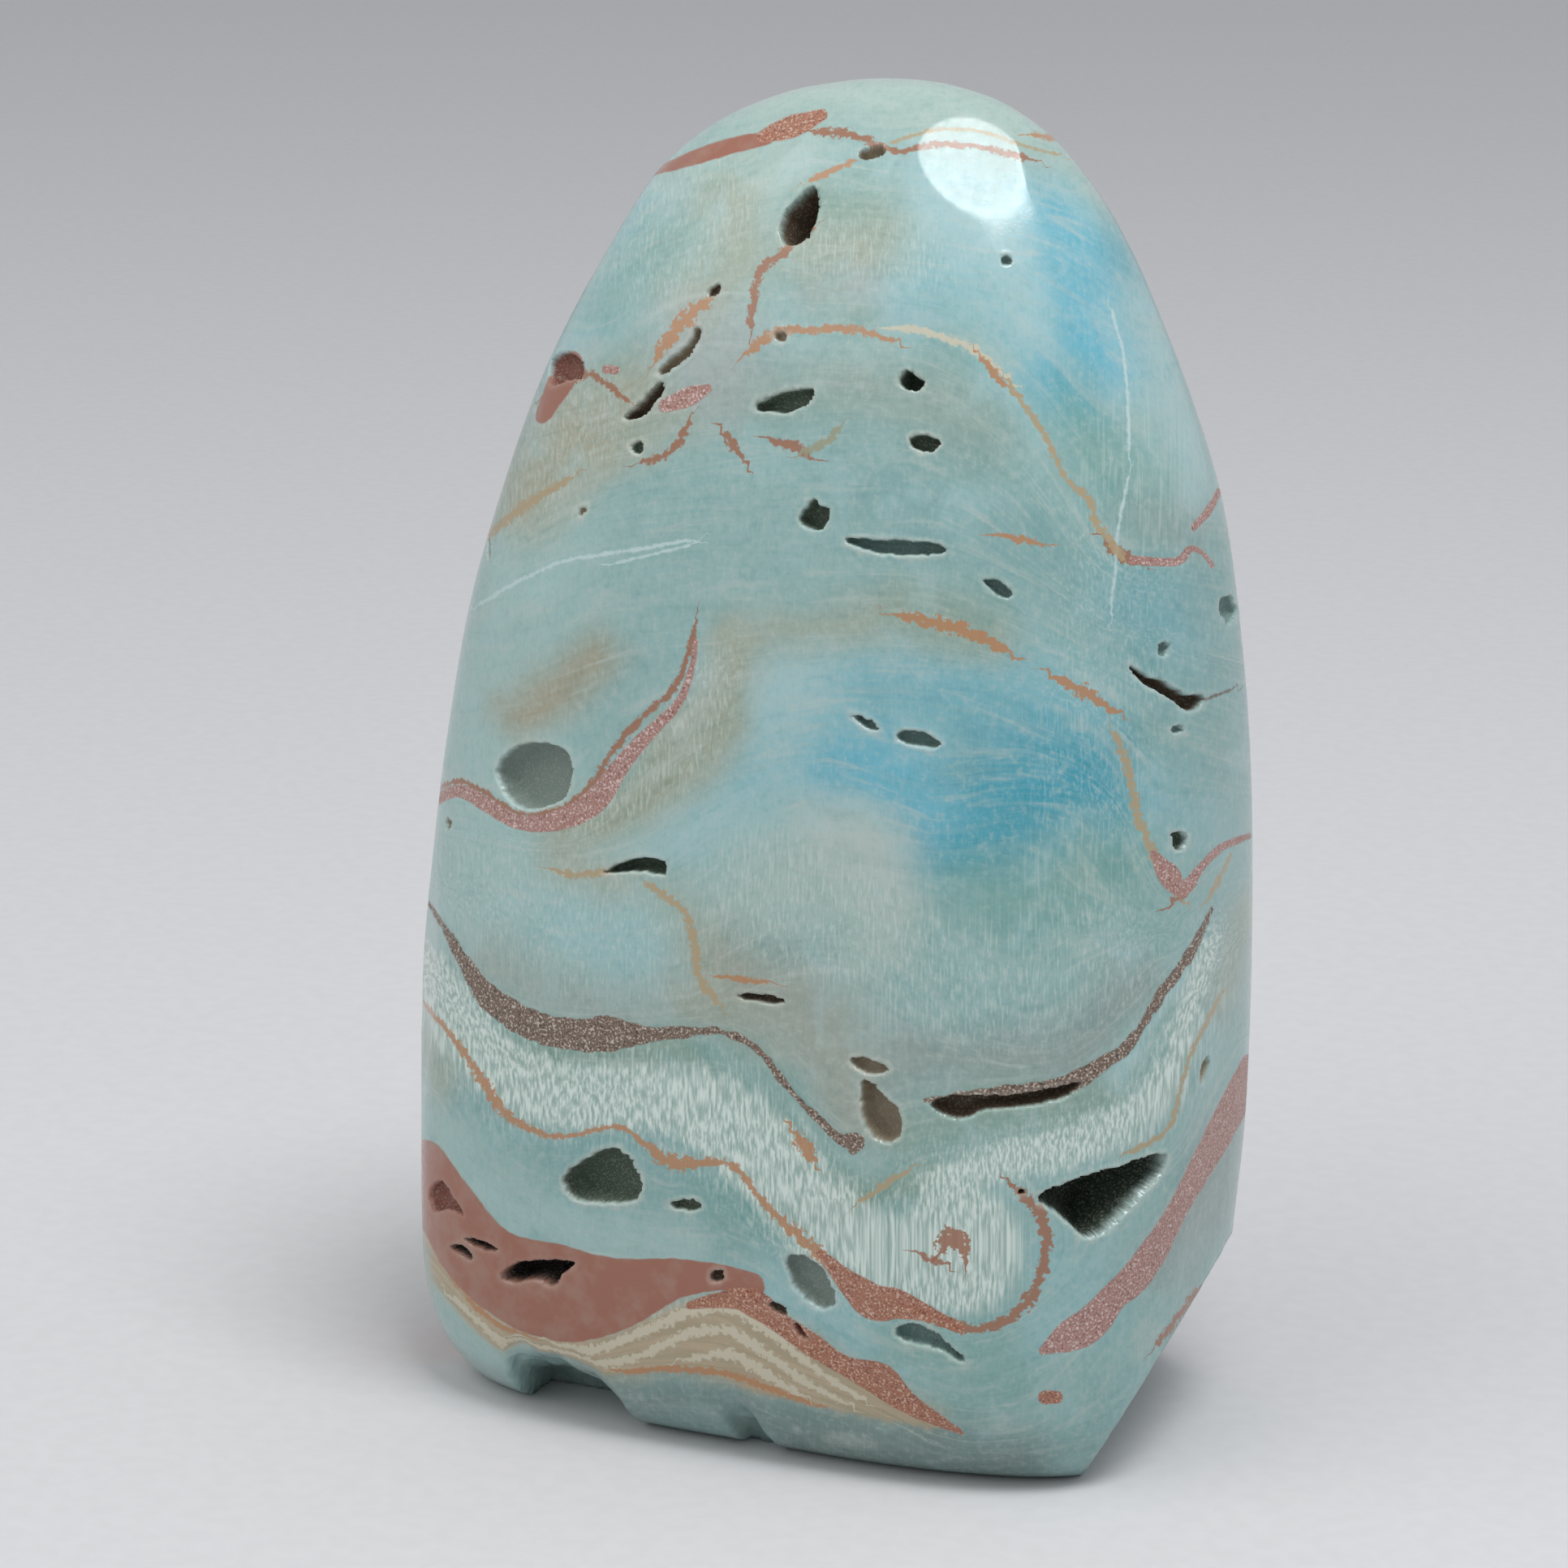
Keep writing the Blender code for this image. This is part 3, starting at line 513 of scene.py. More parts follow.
LEFT_PITS = (
    Pit(1.1, 0.4, 0.7, "pit_teal", oval(960, 760, 20, 7, -25, 31)),
    Pit(0.8, 0.3, 0.6, "pit_crust", oval(1010, 1120, 9, 7, 0, 32)),
)
FRONT_PITS = (
    Pit(4.5, 1.1, 0.3, "pit_brown",
        ((1003, 228), (1008, 258), (998, 288), (976, 303), (960, 290), (966, 262), (984, 242))),
    Pit(1.3, 0.5, 0.3, "pit_crust", oval(1074, 187, 17, 8, 20, 1)),
    Pit(0.7, 0.3, 0.4, "pit_teal", oval(1240, 320, 6, 6, 0, 2)),
    Pit(3.0, 0.6, 0.6, "pit_green", oval(1122, 470, 16, 11, -25, 3)),
    Pit(1.6, 0.6, 0.6, "pit_green",
        ((928, 502), (955, 486), (985, 479), (1003, 481), (994, 498), (962, 509))),
    Pit(1.6, 0.5, 1.0, "pit_green", oval(1140, 547, 19, 11, -5, 4)),
    Pit(1.8, 0.5, 0.5, "pit_green",
        ((984, 640), (993, 625), (1003, 614), (1012, 624), (1023, 629), (1018, 646), (1006, 654),
         (993, 650))),
    Pit(1.5, 0.5, 0.8, "pit_teal",
        ((1042, 664), (1100, 666), (1140, 668), (1163, 674), (1158, 683), (1110, 684), (1068, 679))),
    Pit(1.2, 0.5, 0.5, "pit_teal", oval(1230, 724, 19, 7, -33, 5)),
    Pit(2.0, 0.5, 0.5, "pit_brown",
        ((1388, 817), (1410, 832), (1434, 840), (1460, 856), (1482, 856), (1480, 870), (1462, 876),
         (1440, 860), (1408, 842))),
    Pit(1.5, 0.4, 0.8, "pit_green", ((1443, 1028), (1454, 1025), (1462, 1032), (1458, 1047), (1447, 1045))),
    Pit(0.6, 0.3, 0.5, "pit_teal", oval(1450, 899, 7, 5, 0, 6)),
    Pit(0.7, 0.4, 0.4, "pit_teal", oval(1434, 800, 10, 7, 80, 7)),
    Pit(1.0, 0.6, 0.4, "pit_teal", oval(1513, 750, 17, 11, 100, 8)),
    Pit(2.6, 1.3, 0.5, "pit_grey",
        ((610, 950), (632, 921), (668, 915), (698, 926), (704, 952), (696, 980), (668, 995), (632, 992))),
    Pit(2.0, 0.6, 0.5, "pit_green", ((742, 1076), (779, 1058), (815, 1060), (819, 1078), (785, 1074))),
    Pit(1.0, 0.3, 1.0, "pit_teal", oval(1067, 891, 20, 5, -28, 9)),
    Pit(1.2, 0.4, 1.0, "pit_teal", oval(1133, 911, 26, 9, -12, 10)),
    Pit(1.2, 0.3, 0.4, "pit_brown", oval(936, 1230, 31, 5, -6, 11)),
    Pit(1.3, 0.5, 0.2, "pit_red", ((677, 474), (680, 442), (700, 433), (716, 445), (718, 464), (700, 468))),
    Pit(1.4, 0.4, 0.6, "pit_crust",
        ((806, 463), (826, 441), (847, 424), (857, 404), (863, 410), (853, 432), (832, 452))),
    Pit(1.8, 0.4, 0.5, "pit_brown",
        ((768, 513), (790, 495), (811, 470), (817, 480), (800, 506), (780, 517))),
    Pit(0.9, 0.3, 1.0, "pit_green", oval(785, 552, 8, 7, 90, 12)),
    Pit(0.8, 0.3, 0.3, "pit_brown", oval(880, 358, 11, 5, 50, 13)),
    Pit(0.7, 0.3, 0.8, "pit_crust", oval(962, 415, 8, 6, 0, 14)),
    Pit(0.5, 0.3, 0.8, "pit_crust", oval(716, 630, 7, 4, 60, 15)),
    Pit(1.2, 0.4, 0.8, "pit_crust", ((1050, 1303), (1076, 1306), (1096, 1317), (1072, 1323), (1055, 1315))),
    Pit(2.4, 0.8, 0.7, "pit_crust",
        ((1061, 1335), (1072, 1333), (1092, 1352), (1108, 1368), (1112, 1392), (1096, 1408), (1076, 1402),
         (1062, 1375))),
    Pit(2.4, 0.6, 0.3, "pit_brown",
        ((1146, 1360), (1175, 1350), (1240, 1350), (1290, 1342), (1330, 1334), (1318, 1350), (1270, 1364),
         (1215, 1368), (1185, 1380), (1160, 1374))),
    # Deep cave, lined with painted shade
    Pit(7.0, 1.7, 0.7, "painted_cave_shade",
        ((1279, 1475), (1332, 1451), (1386, 1435), (1434, 1420), (1430, 1448), (1402, 1476), (1380, 1502),
         (1342, 1527), (1308, 1500))),
    # Small deep hole, lined with painted shade
    Pit(1.2, 0.3, 0.3, "painted_hole_shade", oval(1258, 1469, 5, 4, 0, 16)),
    Pit(3.0, 1.3, 1.0, "pit_green",
        ((694, 1450), (721, 1428), (755, 1414), (775, 1428), (790, 1458), (782, 1480), (742, 1483),
         (704, 1476))),
    Pit(1.0, 0.4, 1.0, "pit_green", oval(845, 1484, 19, 7, -4, 17)),
    Pit(1.7, 0.8, 0.6, "pit_grey",
        ((969, 1550), (990, 1547), (1010, 1560), (1023, 1582), (1028, 1606), (1013, 1613), (992, 1602),
         (975, 1580))),
    Pit(1.3, 0.5, 0.7, "pit_teal",
        ((1104, 1637), (1125, 1631), (1150, 1640), (1172, 1660), (1192, 1682), (1155, 1663),
         (1112, 1653))),
    # Deep holes, lined with painted shade
    Pit(4.0, 0.5, 0.2, "painted_hole_shade",
        ((616, 1572), (638, 1556), (680, 1553), (708, 1556), (692, 1570), (682, 1586), (656, 1577),
         (632, 1581))),
    # Small deep holes, lined with painted shade
    Pit(1.8, 0.3, 0.2, "painted_hole_shade", ((572, 1526), (592, 1528), (613, 1539), (600, 1541), (582, 1534))),
    Pit(1.6, 0.3, 0.2, "painted_hole_shade", ((555, 1536), (570, 1533), (582, 1546), (579, 1553), (566, 1545))),
    Pit(1.1, 0.6, 0.1, "pit_red",
        ((534, 1492), (529, 1466), (544, 1455), (558, 1474), (572, 1497), (552, 1490))),
    Pit(1.2, 0.4, 0.5, "pit_brown", oval(884, 1572, 9, 8, 20, 18)),
    Pit(1.2, 0.4, 0.2, "pit_brown", oval(959, 1612, 12, 6, -30, 19)),
    Pit(1.0, 0.3, 0.2, "pit_red", oval(986, 1640, 11, 4, -50, 20)),
    Pit(0.8, 0.3, 0.2, "pit_crust", oval(1484, 1318, 17, 5, 80, 21)),
)
RIGHT_PITS = (
    Pit(1.0, 0.4, 0.7, "pit_teal", oval(1010, 1010, 24, 7, 18, 33)),
    Pit(0.8, 0.3, 0.6, "pit_green", oval(950, 620, 12, 7, -30, 34)),
)
BACK_PITS = (
    Pit(2.4, 0.7, 0.7, "pit_green", oval(880, 649, 66, 12, 14, 23, count=17)),
    Pit(3.2, 1.3, 0.8, "pit_green", oval(1110, 1168, 46, 31, -20, 24, count=13)),
    Pit(1.9, 0.5, 0.7, "pit_teal", oval(764, 1024, 19, 13, 40, 25)),
    Pit(1.8, 0.5, 0.4, "pit_brown", oval(1024, 1456, 60, 11, -8, 26, count=17)),
    Pit(0.9, 0.3, 0.8, "pit_teal", oval(1010, 420, 15, 6, -20, 27)),
    Pit(1.1, 0.4, 0.8, "pit_teal", oval(690, 1290, 22, 8, 30, 28)),
    Pit(0.8, 0.3, 0.6, "pit_crust", oval(1250, 880, 10, 8, 0, 29)),
    Pit(1.0, 0.3, 0.5, "pit_brown", oval(840, 1610, 24, 6, 12, 30)),
)
PITS_BY_VIEW = (
    (LEFT_AZIMUTH, LEFT_PITS),
    (EYE_AZIMUTH, FRONT_PITS),
    (RIGHT_AZIMUTH, RIGHT_PITS),
    (BACK_AZIMUTH, BACK_PITS),
)
FACING_LIMIT = 0.03

# Roughness cut into the mesh: height, grain size and shift of the noise for ragged mouths and rough
# linings, and the reach of each patch past its edge, sizes in mm
MOUTH_RAGGEDNESS = ((0.16, 0.7, 0), (0.08, 0.3, 5))
CRUSTLESS_RAGGED = 0.3
LINING_ROUGHNESS = 0.16
LINING_GRAINS = ((1.0, 0.55, 9), (0.6, 0.275, 11))
LINING_EASE = 0.3
CRUST_HEIGHT = 0.05
CRUST_OUTER_EDGE = (-0.45, -0.1)
CRUST_INNER_EDGE = (-0.05, 0.1)
SUGAR_HEIGHT = 0.05
SUGAR_LEVEL = 0.6
SUGAR_GRAIN = 0.45
SUGAR_EDGE = (-0.1, 0.15)


def direction(azimuth, elevation):
    """Unit vector that leans right of the front by azimuth and up by elevation, in degrees."""
    turn, rise = math.radians(azimuth), math.radians(elevation)
    return np.array([math.sin(turn) * math.cos(rise), -math.cos(turn) * math.cos(rise), math.sin(rise)])


def seen_from(azimuth, points):
    """Photo pixels at which a camera turned to this azimuth sees points in mm."""
    towards_eye = direction(azimuth, EYE_ELEVATION)
    right = np.array([math.cos(math.radians(azimuth)), math.sin(math.radians(azimuth)), 0.0])
    up = np.cross(towards_eye, right)
    rays = points - (AIM + towards_eye * EYE_DISTANCE)
    scale = FOCAL_PIXELS / -(rays @ towards_eye)
    return np.stack([PHOTO_SIDE / 2 + rays @ right * scale, PHOTO_SIDE / 2 - rays @ up * scale], axis=1)


def step_up(values, start, end):
    """Smooth step from 0 at start to 1 at end."""
    share = np.clip((values - start) / (end - start), 0, 1)
    return share * share * (3 - 2 * share)


def wander(points, size, shift=0):
    """Smooth random vector field of a grain size in mm, roughly from -1 to 1."""
    return np.array([noise.noise_vector(Vector(point)) for point in points / size + shift])


def wavering(points, size, shift=0):
    """Smooth random value of a grain size in mm, roughly from -1 to 1."""
    return np.array([noise.noise(Vector(point)) for point in points / size + shift])


def roughened(points, layers):
    """Sum of smooth random values, one for each layer of height, grain size and shift."""
    return sum(height * wavering(points, size, shift) for height, size, shift in layers)


def spline(before, start, end, after, t):
    """Place at share t of the way from start to end, on a smooth curve through all four."""
    return 0.5 * (2 * start + (end - before) * t + (2 * before - 5 * start + 4 * end - after) * t ** 2
                  + (3 * start - before - 3 * end + after) * t ** 3)


def eased(points, steps=4, closed=False):
    """Points of a smooth curve through the given ones."""
    knots = np.array(points, dtype=float)
    if len(knots) < 3:
        return knots
    if closed:
        knots = np.vstack([knots[-1:], knots, knots[:2]])
    else:
        knots = np.vstack([2 * knots[0] - knots[1], knots, 2 * knots[-1] - knots[-2]])
    curve = []
    for before, start, end, after in zip(knots, knots[1:], knots[2:], knots[3:]):
        for step in range(steps):
            curve.append(spline(before, start, end, after, step / steps))
    curve.append(knots[-2])
    return np.array(curve)


Measure = namedtuple("Measure", "distance above width")


def measure(places, curve):
    """How far each place is from a curve, whether it lies above it, and the curve's width there."""
    count = len(places)
    distance = np.full(count, np.inf)
    above, width = np.ones(count), np.zeros(count)
    for start, end in zip(curve, curve[1:]):
        step = end[:2] - start[:2]
        length = math.hypot(*step)
        if length == 0:
            continue
        offset = places - start[:2]
        share = np.clip(offset @ step / length ** 2, 0, 1)
        gap = offset - share[:, None] * step
        gap_length = np.hypot(gap[:, 0], gap[:, 1])
        closer = gap_length < distance
        distance[closer] = gap_length[closer]
        cross = step[1] * offset[:, 0] - step[0] * offset[:, 1]
        above[closer] = np.where(cross[closer] >= 0, 1, -1)
        if len(start) > 2:
            width[closer] = start[2] + share[closer] * (end[2] - start[2])
    return Measure(distance, above, width)


def within_reach(places, curve, reach):
    """Indices of the places that are inside the curve's box grown by reach."""
    low, high = curve[:, :2].min(0) - reach, curve[:, :2].max(0) + reach
    return np.where(((places > low) & (places < high)).all(axis=1))[0]


def inside(places, outline):
    """Distance in from a closed outline: positive inside it, negative outside."""
    distance = measure(places, outline).distance
    odd = np.zeros(len(places), dtype=bool)
    for (x0, y0), (x1, y1) in zip(outline, outline[1:]):
        if y0 == y1:
            continue
        crossing = (y0 > places[:, 1]) != (y1 > places[:, 1])
        odd ^= crossing & (places[:, 0] < x0 + (places[:, 1] - y0) * (x1 - x0) / (y1 - y0))
    return np.where(odd, distance, -distance)


def tone(name):
    """Linear stone colour for a tone of the photograph."""
    share = np.array(TONES[name]) / 255
    linear = np.where(share <= 0.04045, share / 12.92, ((share + 0.055) / 1.055) ** 2.4)
    return linear * ALBEDO_GAIN


# The skin

def section_at(places):
    """Sections at places along SECTIONS, eased through their neighbours."""
    last = len(SECTIONS) - 1
    index = np.clip(places.astype(int), 0, last - 1)
    before = SECTIONS[np.clip(index - 1, 0, last)]
    after = SECTIONS[np.clip(index + 2, 0, last)]
    return spline(before, SECTIONS[index], SECTIONS[index + 1], after, (places - index)[:, None])


def ring_place(sections, angles):
    """Points in mm on the rings of the given sections."""
    half_width, half_depth = sections[:, 3] * HALF_WIDTH, sections[:, 4] * HALF_DEPTH
    power = sections[:, 5]
    x, y = np.cos(angles), np.sin(angles)
    radius = (np.abs(x / half_width) ** power + np.abs(y / half_depth) ** power) ** (-1 / power)
    return np.stack([sections[:, 1] + x * radius, sections[:, 2] + y * radius, sections[:, 0]], axis=1)


def even_spacing(points, shares):
    """Where to stop along a line of points so that the stops lie evenly by length."""
    lengths = np.concatenate([[0], np.cumsum(np.linalg.norm(np.diff(points, axis=0), axis=1))])
    return np.interp(shares, lengths / lengths[-1], np.linspace(0, 1, len(points)))


def column_angles(shares):
    """Angles of the columns: even round the waist, and closer together on the front."""
    start = math.radians(EYE_AZIMUTH + 90)
    trial = np.linspace(start, start + math.tau, TRIAL_STEPS)
    waist = ring_place(np.repeat(SECTIONS[WAIST:WAIST + 1], TRIAL_STEPS, axis=0), trial)
    crowded = shares + FRONT_DENSITY * np.sin(math.tau * shares) / math.tau
    return start + math.tau * even_spacing(waist, crowded)


def row_places(rows):
    """Places along SECTIONS of the rows between the foot and the crown, even by length."""
    last = len(SECTIONS) - 1
    trial = section_at(np.linspace(0, last, TRIAL_STEPS))
    profile = np.stack([trial[:, 3] * HALF_WIDTH, trial[:, 0]], axis=1)
    return last * even_spacing(profile, rows)


def wrap_skin(mesh):
    """Roll a flat grid into the stone: foot disc, sections, then the crown closing."""
    flat = np.array([vert.co for vert in mesh.verts])
    column = np.round((flat[:, 0] + 1) / 2 * COLUMNS) / COLUMNS
    row = np.round((flat[:, 1] + 1) / 2 * ROWS)
    wall_rows = ROWS - FOOT_ROWS - CROWN_ROWS
    places = row_places(np.clip((row - FOOT_ROWS) / wall_rows, 0, 1))
    points = ring_place(section_at(places), column_angles(column))
    foot = np.clip(row / FOOT_ROWS, 0, 1)
    crown = np.clip((ROWS - row) / CROWN_ROWS, 0, 1)
    first, last = SECTIONS[0], SECTIONS[-1]
    for share, section in ((foot, first), (crown, last)):
        closing = share < 1
        centre = np.array([section[1], section[2], section[0]])
        points[closing] = centre + (points[closing] - centre) * share[closing, None]
    points[:, 2] += np.where(crown < 1, (HEIGHT - last[0]) * (1 - crown ** 2), 0)
    for vert, point in zip(mesh.verts, polished(points)):
        vert.co = point


def polished(points):
    """Lay what stands past a polishing flat onto it."""
    for azimuth, elevation, cut in POLISHING_FLATS:
        normal = direction(azimuth, elevation)
        limit = (points @ normal).max() - cut
        over = np.clip(points @ normal - limit, 0, None)
        points = points - over[:, None] * normal
    return points


def skin_mesh():
    """Closed skin of the stone, in mm, before anything is sunk into it."""
    mesh = bmesh.new()
    bmesh.ops.create_grid(mesh, x_segments=COLUMNS, y_segments=ROWS, size=1)
    wrap_skin(mesh)
    bmesh.ops.remove_doubles(mesh, verts=mesh.verts, dist=MERGE_REACH)
    bmesh.ops.recalc_face_normals(mesh, faces=mesh.faces)
    mesh.normal_update()
    return mesh


def pit_fields(skin, normals):
    """Distance in from the nearest mouth, sink depth, crust and lining colour of every point, in mm."""
    count = len(skin)
    mouth = np.full(count, -FARTHEST)
    depth, crust = np.zeros(count), np.zeros(count)
    lining = np.tile(tone("pit_teal"), (count, 1))
    ragged = roughened(skin, MOUTH_RAGGEDNESS)
    for azimuth, pits in PITS_BY_VIEW:
        places = seen_from(azimuth, skin)
        facing = normals @ direction(azimuth, EYE_ELEVATION) > FACING_LIMIT
        for pit in pits:
            outline = eased(pit.outline, steps=3, closed=True)
            near = within_reach(places, outline, FARTHEST * PIXELS_PER_MM)
            near = near[facing[near]]
            distance = inside(places[near], outline) / PIXELS_PER_MM
            distance = distance + ragged[near] * np.clip(pit.crust + CRUSTLESS_RAGGED, 0, 1)
            inner = np.clip(distance / pit.wall, 0, 1)
            sunk = pit.depth * np.sqrt(1 - (1 - inner) ** 2)
            nearer = distance > mouth[near]
            chosen = near[nearer]
            mouth[chosen] = distance[nearer]
            depth[chosen] = sunk[nearer]
            crust[chosen] = pit.crust
            lining[chosen] = tone(pit.tone)
    return mouth, depth, crust, lining


def band_field(places, kind):
    """Distance in from the edge of one kind of band, in mm, negative outside."""
    field = np.full(len(places), -FARTHEST)
    for stroke in BANDS[kind]:
        curve = eased(stroke)
        near = within_reach(places, curve, FARTHEST * PIXELS_PER_MM + curve[:, 2].max())
        found = measure(places[near], curve)
        field[near] = np.maximum(field[near], (found.width - found.distance) / PIXELS_PER_MM)
    return field


def grainy_field(skin, normals):
    """Distance in from the edge of the nearest grainy band, in mm, negative outside."""
    places = pattern_places(skin, normals)
    return np.maximum.reduce([band_field(places, kind) for kind in GRAINY_KINDS])


def pattern_places(skin, normals):
    """Photo pixels whose pattern each point wears. Hidden points drift away from what shows in front."""
    turned = normals @ direction(EYE_AZIMUTH, EYE_ELEVATION)
    drift = DRIFT_REACH * step_up(-turned, *DRIFT_FADE)
    return seen_from(EYE_AZIMUTH, skin) + drift[:, None] * wander(skin, DRIFT_SIZE, 3)[:, :2]


def carved(skin, normals):
    """Where each point of the skin ends up once pits, notches, the break and roughness are in."""
    mouth, depth, crust, _ = pit_fields(skin, normals)
    rough = roughened(skin, LINING_GRAINS)
    sink = depth + np.where(mouth > 0, LINING_ROUGHNESS * rough * np.clip(mouth / LINING_EASE, 0, 1), 0)
    rim = crust * step_up(mouth, *CRUST_OUTER_EDGE) * step_up(-mouth, *CRUST_INNER_EDGE)
    sink -= rim * CRUST_HEIGHT * (1 + rough)
    sink -= WAVE_HEIGHT * wavering(skin, WAVE_SIZE, 2)
    sugar = step_up(grainy_field(skin, normals), *SUGAR_EDGE)
    sink += sugar * SUGAR_HEIGHT * (SUGAR_LEVEL + wavering(skin, SUGAR_GRAIN, 4))
    points, _ = broken(notched(skin - normals * sink[:, None]))
    points[:, 2] = np.clip(points[:, 2], 0, HEIGHT)
    return points


def notched(points):
    """Lift the foot's front edge to the ceilings of its natural notches."""
    points = points.copy()
    for notch in FOOT_NOTCHES:
        share = np.clip((points[:, 1] - notch.front) / notch.reach, 0, 1)
        ceiling = np.interp(points[:, 0], notch.places, notch.heights, left=0, right=0)
        ceiling *= np.sqrt(1 - share ** 2) * (1 + NOTCH_ROUGHNESS * wavering(points, NOTCH_GRAIN, 7))
        lift = ceiling * np.clip(1 - points[:, 2] / (ceiling + NOTCH_SPREAD), 0, 1)
        points[:, 2] += lift
    return points


def broken(points):
    """Cut the lower right corner back to a rough plane, and how far past it each point stood."""
    normal = BREAK_NORMAL / np.linalg.norm(BREAK_NORMAL)
    over = (points - BREAK_POINT) @ normal
    dent = BREAK_ROUGHNESS * (0.5 + wavering(points, BREAK_DENT_SIZE, 13))
    dent = dent + BREAK_GRAIN * wavering(points, BREAK_GRAIN_SIZE, 17)
    dent = np.clip(dent, 0, None) * step_up(over, 0, BREAK_EASE)
    moved = points - np.where(over > 0, over + dent, 0)[:, None] * normal
    return moved, over


def mesh_arrays(mesh):
    """Places and normals of a mesh's points."""
    mesh.verts.index_update()
    skin = np.array([vert.co for vert in mesh.verts])
    normals = np.array([vert.normal for vert in mesh.verts])
    return skin, normals


def refine(mesh):
    """Split the edges that are too long for the rims, rough patches and steep walls they carry."""
    for _ in range(REFINING_PASSES):
        skin, normals = mesh_arrays(mesh)
        points = carved(skin, normals)
        mouth = pit_fields(skin, normals)[0]
        grainy = grainy_field(skin, normals) > -GRAIN_REACH
        front = normals @ direction(EYE_AZIMUTH, EYE_ELEVATION) > 0
        fine = (np.abs(mouth) < RIM_REACH) | (grainy & front)
        ends = np.array([(edge.verts[0].index, edge.verts[1].index) for edge in mesh.edges])
        lengths = np.linalg.norm(points[ends[:, 0]] - points[ends[:, 1]], axis=1)
        limits = np.where(fine[ends].any(axis=1), FINE_EDGE, COARSE_EDGE)
        mesh.edges.ensure_lookup_table()
        long_edges = [mesh.edges[index] for index in np.where(lengths > limits)[0]]
        bmesh.ops.subdivide_edges(mesh, edges=long_edges, cuts=1, use_grid_fill=True)
        mesh.normal_update()


# The pattern

def ground_colours(skin, places):
    """Soft ground colour of every point from the zones, among them painted shade at the foot and a painted
    reflection.
    """
    for reach, size, shift in ZONE_WANDERINGS:
        places = places + reach * wander(skin, size, shift)[:, :2]
    colours = np.tile(tone(GROUND_TONE), (len(places), 1))
    for zone in ZONES:
        curve = eased(zone.stroke, steps=3)
        near = within_reach(places, curve, zone.soft + curve[:, 2].max())
        found = measure(places[near], curve)
        edge = found.width - found.distance
        weight = zone.strength * step_up(edge, -zone.soft, zone.soft * ZONE_INNER_SOFT)
        colours[near] += weight[:, None] * (tone(zone.tone) - colours[near])
    return colours


def fibre_strength(places):
    """How strongly the fibres show at every point, from 0 to 1."""
    strength = np.full(len(places), FIBRES_ELSEWHERE)
    for soft, power, stroke in FIBRES:
        curve = eased(stroke, steps=3)
        near = within_reach(places, curve, soft + curve[:, 2].max())
        found = measure(places[near], curve)
        weight = step_up(found.width - found.distance, -soft, soft * FIBRE_INNER_SOFT)
        strength[near] = np.maximum(strength[near], power * weight)
    return strength


def layer_levels(places):
    """Level of the growth layers at every point, in mm, drawn from the layer lines near it."""
    x, y, radius = ROSETTE
    turns = np.linspace(0, math.tau, ROSETTE_POINTS + 1)
    ring = np.stack([x + radius * np.cos(turns), y + radius * np.sin(turns)], axis=1)
    lines = [(level, eased(points, steps=3)) for level, points in LAYER_LINES] + [(ROSETTE_LEVEL, ring)]
    total, level = np.zeros(len(places)), np.zeros(len(places))
    for height, curve in lines:
        found = measure(places, curve)
        weight = (found.distance + LAYER_EASE) ** -LAYER_PULL
        total += weight
        level += weight * (height * PIXELS_PER_MM + found.above * found.distance)
    return level / total / PIXELS_PER_MM


def room_beside(curve, layer):
    """Smallest gap in pixels between a curve and the veins of a layer."""
    gaps = [np.linalg.norm(curve[:, None, :2] - other[None, :, :2], axis=2).min() for _, other in layer]
    return min(gaps, default=np.inf)


def layered_veins():
    """Veins sorted into layers so that no two in a layer run close together."""
    layers = [[] for _ in range(VEIN_LAYERS)]
    for vein in VEINS:
        curve = eased(vein.stroke)
        room = [room_beside(curve, layer) for layer in layers]
        choice = next((index for index, gap in enumerate(room) if gap > VEIN_CLEARANCE), int(np.argmax(room)))
        layers[choice].append((vein, curve))
    return layers


def vein_fields(places):
    """For each layer of veins: signed distance from the nearest vein, its half width, and its tint."""
    fields = []
    for layer in layered_veins():
        field = np.zeros((len(places), 3))
        nearest = np.full(len(places), np.inf)
        field[:, 0] = FARTHEST
        for vein, curve in layer:
            near = within_reach(places, curve, FARTHEST * PIXELS_PER_MM)
            found = measure(places[near], curve)
            distance = found.distance / PIXELS_PER_MM
            closer = distance < nearest[near]
            chosen = near[closer]
            nearest[chosen] = distance[closer]
            fade = 1 - step_up(distance[closer], *VEIN_FADE)
            field[chosen, 0] = (found.above * distance)[closer]
            field[chosen, 1] = found.width[closer] / PIXELS_PER_MM * fade
            field[chosen, 2] = TINTS.index(vein.tint) / (len(TINTS) - 1)
        fields.append(field)
    return fields


def write_attribute(data, name, *parts):
    """Keep up to three values, or one colour, of every point on the mesh."""
    values = np.stack(parts, axis=1) if len(parts) > 1 else parts[0]
    data.attributes.new(name, "FLOAT_VECTOR", "POINT").data.foreach_set(
        "vector", values.astype(np.float32).ravel())


def paint(data, skin, normals):
    """Lay every part of the pattern on the mesh as attributes that the material reads."""
    places = pattern_places(skin, normals)
    mouth, _, crust, lining = pit_fields(skin, normals)
    _, over = broken(notched(skin))
    write_attribute(data, "ground", ground_colours(skin, places))
    write_attribute(data, "lining", lining)
    write_attribute(data, "layers", places[:, 0] / PIXELS_PER_MM, layer_levels(places), fibre_strength(places))
    write_attribute(data, "hollows", mouth, crust, np.clip(over, -FARTHEST, FARTHEST))
    write_attribute(data, "smooth_bands", *(band_field(places, kind) for kind in SMOOTH_KINDS))
    write_attribute(data, "grainy_bands", *(band_field(places, kind) for kind in GRAINY_KINDS))
    for index, field in enumerate(vein_fields(places)):
        write_attribute(data, f"veins_{index}", field)


# Materials

